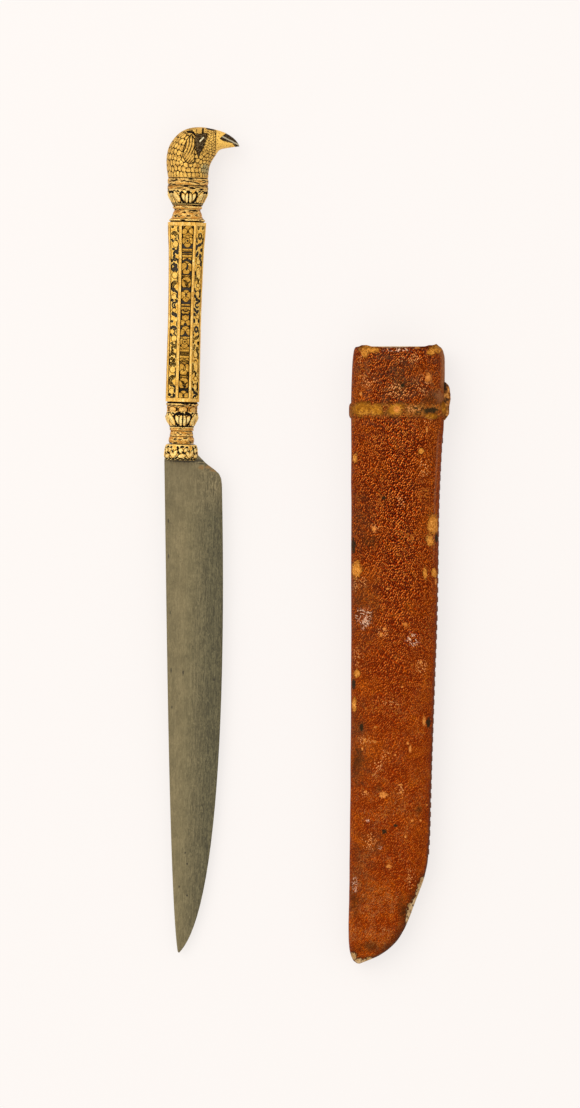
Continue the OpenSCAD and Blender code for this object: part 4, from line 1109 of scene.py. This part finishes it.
places = places.reshape(-1, 3) * 1000
on_front = np.clip((places[:, 2] - 9) / 6, 0, 1)
for x, wide, rise in torn_mouth:
    near = np.clip((places[:, 1] - mouth_y + 2.2) / 2.2, 0, 1) ** 2
    near = np.exp(-((places[:, 0] - x) / wide) ** 2) * near
    places[:, 1] += near * rise * on_front
    places[:, 2] += near * abs(rise) * 0.3 * on_front
for x, y, wide, deep in hollows:
    near = np.exp(-((places[:, 0] - x) ** 2 + (places[:, 1] - y) ** 2) / wide ** 2)
    places[:, 2] -= near * deep * on_front
for i, point in enumerate(places):
    push = noise.noise(Vector(point) * 0.11) * 0.16
    push += noise.noise(Vector(point) * 0.45 + Vector((7, 3, 1))) * 0.07
    if point[2] > 1.5:
        places[i, 2] += push * on_front[i]
        places[i, 0] += push * 0.6 * (1 - on_front[i])
cover.data.vertices.foreach_set("co", (places / 1000).ravel())
cover.data.update()
# Where each point lies round the sheath and how far in from its front edge, for the grain
rows = np.round(places[:, 1] / 1.5).astype(int)
edges = []
for axis, pick in ((0, np.argmin), (0, np.argmax), (2, np.argmax)):
    found = [np.flatnonzero(rows == row) for row in np.unique(rows)]
    found = np.array([row[pick(places[row, axis])] for row in found])
    found = found[np.argsort(places[found, 1])]
    edges.append(np.interp(places[:, 1], places[found, 1], places[found, axis]))
left, right, top = edges
from_middle = places[:, 0] - (left + right) / 2
round_at = from_middle + np.sign(from_middle) * np.maximum(top - places[:, 2], 0)
for mark, values in (("round", round_at), ("from_front", right - places[:, 0])):
    cover.data.attributes.new(mark, "FLOAT", "POINT").data.foreach_set("value", values.astype(np.float32))
bpy.ops.object.shade_smooth()

# Places across and along the sheath in millimetres, each with half its width and its height:
# bare tan patches, small flecks, groups of specks, dark holes, dirt, the broken lower edge,
# whitish curls of painted sheen, dull stains and one scratch
bare_marks = [
    (22.4, 71.0, 3.2, 1.5), (20.6, 69.6, 1.3, 1.6), (46.9, 71.3, 2.2, 1.7), (45.0, 70.0, 1.6, 1.0),
    (20.2, 49.2, 3.9, 2.4), (24.6, 48.9, 2.7, 2.2), (32.1, 49.1, 2.8, 2.3), (45.0, 46.7, 2.2, 0.9),
    (50.0, 49.9, 1.45, 2.2), (45.5, 7.6, 1.9, 3.6), (44.4, 1.7, 1.5, 1.9), (17.8, -8.9, 2.1, 2.9),
    (42.7, -10.2, 0.75, 2.1), (46.1, -10.2, 1.0, 1.5), (17.2, 31.5, 0.95, 1.8), (18.0, -46.7, 1.1, 1.3),
    (16.9, -57.8, 0.9, 2.3), (41.3, 34.0, 0.9, 0.9),
]
fleck_marks = [
    (43.8, 60.7, 1.3, 1.9), (32.4, 49.1, 1.2, 1.3), (26.7, -32.5, 0.6, 0.9), (27.9, -30.4, 0.55, 0.7),
    (35.5, -28.8, 0.9, 0.7), (20.8, -71.0, 0.75, 0.75), (24.4, -71.3, 0.75, 0.6),
    (37.3, -74.0, 0.5, 1.2), (36.4, -71.9, 0.4, 0.5), (41.1, -42.5, 0.5, 0.6),
    (34.3, -51.4, 0.45, 0.45), (42.4, -63.9, 0.6, 1.7), (29.1, -15.9, 0.65, 0.45),
    (43.3, 41.9, 0.4, 1.0), (27.7, -90.7, 1.5, 1.2), (38.1, -100, 0.6, 0.3), (41.1, -100, 0.45, 0.4),
    (35.5, -105.8, 0.45, 0.6), (29.6, -116.6, 1.1, 0.7), (34.0, -89.7, 0.4, 0.5),
    (33.6, -87.0, 0.8, 0.3), (43.3, -94.4, 0.4, 0.3), (21.1, -89.6, 0.6, 0.5), (24.7, -66.0, 0.7, 0.4),
    (19.3, 54.8, 0.5, 0.7), (24.2, 6.0, 0.7, 0.9), (39.8, 71.5, 1.1, 0.4), (46.6, -13.4, 0.4, 1.3),
    (19.9, -74.0, 0.4, 0.6), (31.8, -76.2, 0.4, 0.4),
]
speck_marks = [
    (18.2, -40.6, 1.9, 3.6), (39.0, 67.8, 1.8, 2.0), (35.6, 67.0, 2.8, 1.4), (24.2, 6.0, 1.8, 1.8),
    (20.8, -70.8, 2.4, 1.8), (30.5, -57.4, 3.2, 1.0), (34.2, 15.6, 2.6, 2.2), (43.0, 45.6, 2.6, 1.4),
    (38.6, 49.2, 3.0, 1.6), (19.0, 68.4, 0.9, 2.6), (21.0, -90.0, 1.8, 1.4), (34.0, -88.5, 1.8, 2.0),
    (22.5, -107.5, 3.0, 3.0), (20.2, -13.6, 1.4, 2.2), (41.5, 58.0, 3.0, 4.0), (33.0, 55.6, 5.0, 3.0),
    (22.0, 60.0, 3.0, 3.0), (27.5, -31.6, 2.2, 2.4), (41.5, -44, 2.0, 3.0), (42.4, 28, 2.6, 3.0),
    (17.6, -14, 1.2, 3.0), (37.5, -121, 2.0, 4.0), (25.6, -79.5, 2.6, 1.8), (28.4, -76, 1.6, 1.6),
]
dark_marks = [
    (44.2, 48.9, 2.9, 1.0), (16.7, -0.4, 0.75, 2.6), (16.8, -50.5, 0.65, 1.9), (19.7, -66.1, 0.75, 1.5),
    (43.9, -64.5, 0.8, 1.9), (27.8, -103.9, 1.0, 1.1), (31.9, -101.8, 0.8, 0.5), (27.6, 17.1, 0.9, 0.6),
    (46.8, 2.6, 0.7, 1.5), (34.4, 57.86, 0.73, 0.87), (39.2, 49.6, 1.0, 0.35), (40.2, 48.2, 0.8, 0.3),
]
dirt_marks = [
    (23.2, 1.2, 2.5, 2.3), (16.9, -130, 2.0, 5.0), (40.4, -95.8, 1.2, 2.4), (25.9, -88, 1.3, 1.3),
    (34.0, 57.5, 2.4, 2.4), (45.0, 53.0, 3.4, 1.6), (18.0, -79.0, 2.0, 5.0), (39.6, 49.2, 1.8, 1.4),
    (34.5, -131, 1.6, 5.0), (23.5, -146, 6.0, 1.6),
]
frayed_marks = [
    (41.9, -122.3, 0.8, 1.5), (41.0, -124.6, 0.9, 1.5), (40.2, -126.6, 0.8, 1.4),
    (38.9, -129.4, 0.8, 1.6), (37.8, -131.9, 0.9, 1.7), (36.8, -134.2, 0.8, 1.6),
    (36.2, -136.2, 0.6, 1.2), (16.6, -149.6, 1.0, 1.1), (18.6, -151.2, 1.3, 0.9),
    (20.8, -151.4, 1.3, 0.8), (22.8, -150.6, 1.0, 0.7),
]
# Whitish curls of painted sheen, where the satin leather catches the light
painted_sheen_marks = [
    (38.0, -34.5, 2.3, 2.1), (20.4, -26.3, 2.4, 3.8), (17.2, -123.6, 0.9, 2.6),
    (32.95, 70.95, 4.73, 0.8), (21.9, -100.0, 0.7, 0.5), (26.4, -109.8, 0.6, 0.7),
]
dull_marks = [
    (32.95, 60.04, 6.18, 9.45), (35.49, 55.68, 3.64, 2.91), (22.76, 72.77, 10.91, 1.09),
    (19.5, 8.5, 3.8, 9.5), (18.6, -17, 2.5, 7.0), (20.95, -23.6, 4.36, 10.91),
    (44.58, 54.59, 4.36, 3.27), (19.13, -80, 3.2, 7.0), (23.8, -107.5, 3.6, 4.0),
    (18.4, -67.23, 2.91, 7.27), (19.5, -118, 3.5, 9.0),
]
scratch_marks = [
    (23.8 + 0.36 * i + 0.2 * math.sin(i * 1.3), -83.8 + 0.41 * i, 0.24, 0.3) for i in range(10)
]

hide_tones = [(0.32, (0.27, 0.03, 0.0)), (0.5, (0.34, 0.044, 0.0)), (0.66, (0.43, 0.074, 0.001))]
middle_red, patch_dark, patch_light = (0.28, 0.021, 0.0), (0.15, 0.014, 0.0), (0.47, 0.098, 0.001)
# The ridge colours are painted highlights, and the pit colours are the grain's own
small_ridge_painted_highlight, small_pit_brown = (0.78, 0.22, 0.02), (0.11, 0.006, 0.0)
ridge_painted_highlight, deep_pit_brown, pit_core_black = (0.98, 0.275, 0.04), (0.06, 0.0, 0.0), (0.008, 0.0, 0.0)
scuff_tan, dull_brown, handled_grey = (0.434, 0.13, 0.014), (0.06, 0.029, 0.01), (0.091, 0.042, 0.02)
# The pale seam line is a painted highlight on the fold, and the dark edge is painted shade
scratch_tan, curl_painted_sheen, seam_painted_highlight = (0.6, 0.27, 0.09), (0.95, 0.6, 0.4), (0.434, 0.21, 0.112)
edge_painted_shade, low_rim_dark, edge_tan = (0.055, 0.018, 0.004), (0.07, 0.02, 0.003), (0.35, 0.134, 0.05)
dirt_brown, rim_dark, hole_black = (0.06, 0.019, 0.003), (0.049, 0.01, 0.001), (0.022, 0.017, 0.007)
collar_tones = [(0.42, (0.1, 0.03, 0.004)), (0.54, (0.36, 0.13, 0.02))]
bare_tones = [(0.36, (0.27, 0.09, 0.004)), (0.48, (0.5, 0.19, 0.012)), (0.62, (0.8, 0.33, 0.045))]
bright_tones = [(0.36, (0.42, 0.13, 0.01)), (0.47, (0.68, 0.24, 0.028)), (0.62, (0.9, 0.38, 0.075))]
bare_brown, bare_pit_brown, long_scratch_tan = (0.2, 0.065, 0.006), (0.24, 0.08, 0.012), (0.7, 0.27, 0.09)
speck_tones = [(0.4, (0.62, 0.2, 0.035)), (0.56, (0.9, 0.37, 0.12))]
fleck_tones = [(0.38, (0.5, 0.15, 0.02)), (0.55, (0.8, 0.29, 0.06))]
# Painted shade for the turned-down sides, and painted shadow round the broken lower edge
side_painted_shade, frayed_shadow = (0.07, 0.016, 0.002), (0.03, 0.012, 0.004)
cream_tones = [(0.35, (0.42, 0.22, 0.07)), (0.6, (0.72, 0.5, 0.26))]
grain_size, small_grain_size = 1.3, 1.75
grain_even, small_grain_even = 0.58, 0.9
small_longer = (0.75, 1.4, 1)
# The ridges are painted highlights, as if lit from up and to the left: the pits' own pattern, read from a
# start a little to the right and below
ridge_start, small_start, small_ridge_start = (0.28, -0.28), (3, 5), (3.22, 4.75)
sheath_middle, sheath_half = 32, 14.0
collar_share, seam_in = 0.8975, 1.7

shagreen, shader, spot = finish_with("grained_leather")
flat = vector_of("MULTIPLY", spot, (1, 1, 0))
side, down, height = (part_of(spot, axis) for axis in range(3))
from_front = kept_on(shagreen, "from_front")
along = (down - foot_y) / sheath_long
on_top = ramp_of(height / 10, (0.5, 0.0), (0.75, 1.0))
seen_low = ramp_of(height / 10, (0.15, 0.0), (0.3, 1.0))
zones = cloud(spot, 0.075, 3, 0.6)
groups = cloud(spot, 0.13, 2, 0.5)
patches = cloud(spot, 0.33, 4, 0.62)
grime = cloud(spot, 0.35, 4, 0.7)
freckles = cloud(stretched(spot, (0.9, 1.15, 1), (0, 0, 0.7)), 1.25, 3, 0.62)
ragged = cloud(spot, 1.3, 3, 0.6)
wander = (ragged + patches - 1.0) * 2.4
chipped = (cloud(spot, 3.2, 2, 0.6) - 0.5) * 1.5


def worn(marks, inner, outer, shown=on_top, uneven=1.0):
    """Share of each place that a list of marks takes up, with a ragged edge, on the upper side."""
    away = nearest_mark(flat, marks) + wander * uneven + chipped
    return ramp_of(away * 0.5, (inner / 2, 1.0), (outer / 2, 0.0)) * shown


# Pits of the pressed grain: each is dark, with a painted highlight on the ridge up and to the left of it.
# They are coarse and deep down the middle, and fine and shallow along the edges and towards the tip.
wide_waves = [("Vector", spot), ("Scale", 0.11), ("Detail", 1.0)]
wavy = amount_of(shagreen, "ShaderNodeTexNoise", wide_waves, "Color")
sheet = amount_of(shagreen, "ShaderNodeCombineXYZ", [(0, kept_on(shagreen, "round")), (1, down)])
sheet = vector_of("ADD", sheet, vector_of("MULTIPLY", wavy, (4.0, 4.0, 0)))


def grain_of(start, scale, uneven, longer=(1.12, 0.92, 1)):
    """Distance to the nearest pit of a grain, so many to a millimetre, and a random number for it."""
    place = stretched(vector_of("ADD", sheet, (*start, 0)), longer, (0, 0, 0.6))
    feeds = [("Vector", place), ("Scale", scale), ("Randomness", uneven)]
    cells = step(shagreen, "ShaderNodeTexVoronoi", feeds, voronoi_dimensions="2D").outputs
    lot = amount_of(shagreen, "ShaderNodeSeparateColor", [(0, cells["Color"])])
    return Amount(shagreen, cells["Distance"]), lot


coarse, coarse_lot = grain_of((0, 0), grain_size, grain_even)
lit, lit_lot = grain_of(ridge_start, grain_size, grain_even)
small = grain_of(small_start, small_grain_size, small_grain_even, small_longer)[0]
small_lit, small_lit_lot = grain_of(small_ridge_start, small_grain_size, small_grain_even, small_longer)
off_middle = abs((side - sheath_middle) / sheath_half) + (zones - 0.5) * 2.2
middle = ramp_of(off_middle, (0.15, 1.0), (0.9, 0.0))
upper = ramp_of(along, (0.36, 0.15), (0.72, 1.0))
lower = ramp_of(along, (0.05, 1.0), (0.5, 0.0))
smooth_band = ramp_of(from_front / 10, (0.06, 1.0), (0.2, 0.0))
depth = (0.22 + upper * (0.5 + middle * 0.45) * 0.78) * (1.0 - smooth_band * 0.6)
shallow = 1.0 - depth * 0.7
reach = coarse + (coarse_lot - 0.5) * 0.12
deep_pit = ramp_of(reach, (0.34, 1.0), (0.5, 0.0))
pit_core = ramp_of(reach, (0.2, 1.0), (0.34, 0.0))
small_pit = ramp_of(small, (0.2, 1.0), (0.48, 0.0))
ridge = ramp_of(lit, (0.2, 1.0), (0.36, 0.0)) * ramp_of(lit_lot, (0.25, 0.1), (0.85, 1.0))
small_ridge_highlight = ramp_of(small_lit, (0.14, 1.0), (0.34, 0.0)) * ramp_of(small_lit_lot, (0.3, 0.0), (0.95, 1.0))
tone = laid_over(
    ramp_of(zones, *hide_tones),
    (middle * (0.3 + upper * 0.55), middle_red),
    (ramp_of(patches, (0.4, 0.4), (0.52, 0.0)), patch_dark),
    (ramp_of(patches, (0.54, 0.0), (0.68, 0.5)), patch_light),
    (small_ridge_highlight * shallow * 0.8, small_ridge_painted_highlight),
    (small_pit * shallow * (1.0 - lower * 0.4), small_pit_brown),
    (deep_pit * depth, deep_pit_brown),
    (ridge * depth, ridge_painted_highlight),
    (pit_core * depth, pit_core_black),
)

# Flecks of light tan where the surface is scuffed, in loose groups, dull stains, and dirt of
# handling over the mouth end. Then fine scratches, and whitish curls of painted sheen.
scuffs = ramp_of(freckles + (groups - 0.5) * 0.5, (0.64, 0.0), (0.7, 0.85))
dull = worn(dull_marks, 0.3, 1.6) * ramp_of(grime, (0.36, 0.25), (0.6, 1.0))
handled = ramp_of(along, (0.84, 0.0), (0.9, 1.0)) * ramp_of(grime, (0.48, 0.0), (0.62, 0.45))
wriggle = cloud(stretched(spot, (1.2, 0.5, 1), (0, 0, 0.3)), 0.7, 3, 0.6, 0.8)
scratch = ramp_of(abs(wriggle - 0.5), (0.0, 1.0), (0.014, 0.0))
scratch = scratch * ramp_of(groups, (0.46, 0.0), (0.56, 1.0)) * (0.2 + lower)
crackle = cloud(stretched(spot, (1, 0.8, 1), (0, 0, -0.5)), 0.62, 1, 0.5, 0.9)
crackle = ramp_of(abs(crackle - 0.5), (0.025, 1.0), (0.06, 0.0)) * ramp_of(ragged, (0.42, 0.0), (0.54, 1.0))
tone = laid_over(
    tone, (scuffs, scuff_tan), (dull * 0.52, dull_brown), (handled, handled_grey),
    (scratch * 0.6, scratch_tan), (worn(painted_sheen_marks, 0.8, 1.3) * crackle * 0.9, curl_painted_sheen))

# A painted highlight follows the fold at the seam, the very edge is painted dark as shade, the front
# edge is darker towards the tip, the edge at the mouth is worn, and the raised collar has rubbed
# through to its tan layer
seam = ramp_of(abs(from_front - seam_in), (0.15, 1.0), (0.5, 0.0))
seam = seam * ramp_of(along, (0.64, 0.0), (0.7, 1.0)) * ramp_of(along, (0.84, 1.0), (0.87, 0.0))
outline = ramp_of(from_front / 10, (0.02, 1.0), (0.1, 0.0)) * ramp_of(along, (0.3, 1.0), (0.75, 0.35))
low_rim = ramp_of(from_front / 10, (0.08, 0.7), (0.45, 0.0)) * ramp_of(along, (0.1, 1.0), (0.15, 0.0))
edge_worn = ramp_of(from_front / 10, (0.09, 1.0), (0.19, 0.0)) * ramp_of(along, (0.92, 0.0), (0.94, 1.0))
edge_worn = (edge_worn * on_top).at_least(worn([(48.6, 53.6, 2.6, 2.2)], 0.6, 1.2))
on_collar = ramp_of(abs(along - collar_share), (0.008, 1.0), (0.013, 0.0))
on_collar = on_collar * on_top * ramp_of(grime, (0.4, 0.25), (0.56, 0.85))
tone = laid_over(
    tone, (seam * ragged * 0.45, seam_painted_highlight), (outline * 0.8, edge_painted_shade), (low_rim, low_rim_dark),
    (edge_worn * 0.75, edge_tan), (worn(dirt_marks, 0.2, 1.4) * 0.64, dirt_brown),
    (on_collar, ramp_of(ragged, *collar_tones)))

# The bare patches have a dark rim, and are brightest at the mouth and below the collar
bare = worn(bare_marks, 0.92, 1.05, uneven=0.75)
bright_tone = ramp_of(ragged, *bright_tones)
bare_tone = laid_over(
    ramp_of(patches, *bare_tones),
    (ramp_of(ragged, (0.38, 0.9), (0.5, 0.0)), bare_brown),
    (ramp_of(along, (0.84, 1.0), (0.875, 0.0)), bright_tone),
    (ramp_of(along, (0.965, 0.0), (0.975, 0.6)), bright_tone),
    (small_pit * 0.3, bare_pit_brown),
)
near_speck = 1.35 - nearest_mark(flat, speck_marks) + (freckles - 0.5) * 2.4
speck = ramp_of(near_speck, (0.25, 0.0), (0.75, 1.0)) * on_top
speck = speck * ramp_of(lit, (0.22, 1.0), (0.42, 0.0)) * ramp_of(lit_lot, (0.4, 0.0), (0.55, 1.0))
tone = laid_over(
    tone, (worn(bare_marks, 1.02, 1.3, uneven=0.75) * 0.45, rim_dark), (bare, bare_tone),
    (speck, ramp_of(ragged, *speck_tones)),
    (worn(fleck_marks, 0.7, 1.1, uneven=0.6) * 0.9, ramp_of(ragged, *fleck_tones)),
    (worn(scratch_marks, 0.5, 1.2, uneven=0.3) * 0.55, long_scratch_tan),
    (worn(dark_marks, 0.8, 1.15, uneven=0.5) * 0.92, hole_black))

# Painted shade: the turned-down sides are painted darker, and a painted shadow rims the broken lower edge,
# which bares the layer underneath
tone = laid_over(
    tone, (ramp_of(height / 10, (0.25, 0.55), (0.85, 0.0)), side_painted_shade),
    (worn(frayed_marks, 1.15, 1.9, seen_low) * 0.85, frayed_shadow),
    (worn(frayed_marks, 0.95, 1.1, seen_low), ramp_of(patches, *cream_tones)))
plug_in(
    shader, Base_Color=tone, Roughness=ramp_of(patches, (0.3, 0.4), (0.7, 0.62)), Specular_IOR_Level=0.02)
raise_by(shader, deep_pit * -1.0 + small_pit * -0.35 + bare * -0.9 + patches * 0.9, 0.2)
cover.data.materials.append(shagreen)
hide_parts("sheath_leather")
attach(cover, "sheath")

# The strap stub: the torn end of the strap that once hung the sheath, still sewn to the collar.
# It has shrunk against the leather, and its cut face has gone from tan to dark brown.
# Above tip_y the strap ends in a curled point, and below low_end_y its foot has drawn up
tip_y, low_end_y = 55, 47
# Vector noise starts from the time of day, unless it has a seed
crease_seed = 5
noise.seed_set(crease_seed)
strap = copy_of("strap_stub", "torn_strap")
bpy.ops.object.mode_set(mode="EDIT")
bpy.ops.mesh.select_all(action="SELECT")
bpy.ops.mesh.quads_convert_to_tris()
bpy.ops.mesh.subdivide(number_cuts=3)
bpy.ops.object.mode_set(mode="OBJECT")
for corner in strap.data.vertices:
    point = corner.co * 1000
    push = noise.noise_vector(point * 0.9) * 0.3
    push += noise.noise_vector(point * 2.5 + Vector((4, 1, 8))) * 0.12
    inward = 0.3 + max(0, 52.3 - point.x) * 0.7
    if point.y > tip_y:
        # The outer side of the point stays out, and its inner side sinks into the dark gap
        out_of_gap = (point.x - 51.03 + (point.y - 56.6) * 0.37) / 0.65
        inward += min(1, point.y - tip_y) * (1.5 - 1.35 * min(1, max(0, out_of_gap)) - inward)
    drawn_up = 0.8 if point.y < low_end_y else 0
    corner.co = (point + Vector((push.x * 0.6 - inward, push.y + drawn_up, push.z * 0.6))) / 1000
strap.data.update()
bpy.ops.object.shade_smooth_by_angle(angle=math.radians(60))
torn, shader, spot = finish_with("torn_strap_leather")
fibres = cloud(stretched(spot, (1.4, 0.5, 1)), 1.3, 4, 0.65)
blotch = cloud(spot, 0.6, 4, 0.65)
# Painted shadow in the gap behind the point, from 50.2 to 50.9 mm across and above 55.2 mm
gap_painted_shadow = ramp_of(part_of(spot, 0) / 60, (0.836, 0.95), (0.848, 0.0))
gap_painted_shadow = gap_painted_shadow * ramp_of(part_of(spot, 1) / 60, (0.92, 0.0), (0.94, 1.0))
tone = laid_over(
    ramp_of(blotch, (0.42, (0.05, 0.018, 0.004)), (0.52, (0.3, 0.1, 0.014)), (0.62, (0.6, 0.27, 0.06))),
    (ramp_of(fibres, (0.38, 0.8), (0.48, 0.0)), (0.06, 0.02, 0.005)), (gap_painted_shadow, (0.012, 0.006, 0.003)))
plug_in(shader, Base_Color=tone, Roughness=0.7, Specular_IOR_Level=0.1)
raise_by(shader, fibres, 0.2)
strap.data.materials.append(torn)
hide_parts("strap_stub")
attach(strap, "sheath")

# The thread of the seam: waxed brown thread, sewn through the two lips of the leather along
# the front edge.
thread, shader, spot = finish_with("waxed_thread")
turned = stretched(spot, (1, 1, 1), (0, 0, 0.6))
twist = [("Vector", turned), ("Scale", 1.6), ("Distortion", 1.0)]
ply = amount_of(thread, "ShaderNodeTexWave", twist, "Fac")
rubbed = ramp_of((part_of(spot, 1) - foot_y) / sheath_long, (0.5, 1.0), (0.72, 0.0))
fresh_tone = ramp_of(ply, (0.2, (0.05, 0.018, 0.005)), (0.8, (0.12, 0.05, 0.015)))
rubbed_tone = ramp_of(ply, (0.2, (0.14, 0.035, 0.004)), (0.8, (0.3, 0.085, 0.01)))
plug_in(shader, Base_Color=blend_of(rubbed, fresh_tone, rubbed_tone), Roughness=0.6)
raise_by(shader, ply, 0.08)
coat("seam_stitches", thread)

# Inside the sheath: the wooden core of two throat halves, a carved bed for the blade and its
# lid, the strip of leather that raises the collar, and the thin lining glued into the mouth.
core, shader, spot = finish_with("bare_core_wood")
rings = cloud(stretched(spot, (0.5, 0.04, 0.5)), 1.0, 4, 0.6, 0.4)
pores = cloud(stretched(spot, (3.0, 0.25, 3.0)), 1.2, 3, 0.6)
tone = ramp_of(rings, (0.35, (0.42, 0.25, 0.11)), (0.5, (0.6, 0.42, 0.22)), (0.65, (0.68, 0.5, 0.29)))
tone = blend_of(ramp_of(pores, (0.36, 0.6), (0.46, 0.0)), tone, (0.26, 0.14, 0.055))
plug_in(shader, Base_Color=tone, Roughness=0.75)
raise_by(shader, pores, 0.08)
strip, shader, spot = finish_with("collar_strip_leather")
hide = cloud(spot, 0.9, 5, 0.65)
tone = ramp_of(hide, (0.35, (0.24, 0.13, 0.05)), (0.62, (0.44, 0.27, 0.11)))
plug_in(shader, Base_Color=tone, Roughness=0.75)
raise_by(shader, hide, 0.12)
lining, shader, spot = finish_with("glued_lining")
turned = stretched(spot, (1, 1, 1), (0, 0, math.radians(90)))
warp = amount_of(lining, "ShaderNodeTexWave", [("Vector", spot), ("Scale", 0.8)], "Fac")
weft = amount_of(lining, "ShaderNodeTexWave", [("Vector", turned), ("Scale", 0.8)], "Fac")
cloth = warp * weft
tone = ramp_of(cloth, (0.1, (0.16, 0.022, 0.014)), (0.8, (0.34, 0.06, 0.035)))
plug_in(shader, Base_Color=tone, Roughness=0.9)
raise_by(shader, cloth, 0.08)
for node in ("sheath_throat_front", "sheath_throat_back", "sheath_blade_bed", "sheath_bed_lid"):
    coat(node, core)
coat("sheath_collar_ring", strip)
coat("socket_lining", lining)

# Inside the handle: the dark resin that was poured in hot. It fills the sleeve and the rings,
# and holds the tang in them.
lac, shader, spot = finish_with("set_lac")
bubbles = cloud(spot, 1.1, 4, 0.6)
tone = ramp_of(bubbles, (0.35, (0.07, 0.022, 0.006)), (0.65, (0.2, 0.07, 0.02)))
plug_in(shader, Base_Color=tone, Roughness=0.45)
raise_by(shader, bubbles, 0.1)
coat("lac_filling", lac)
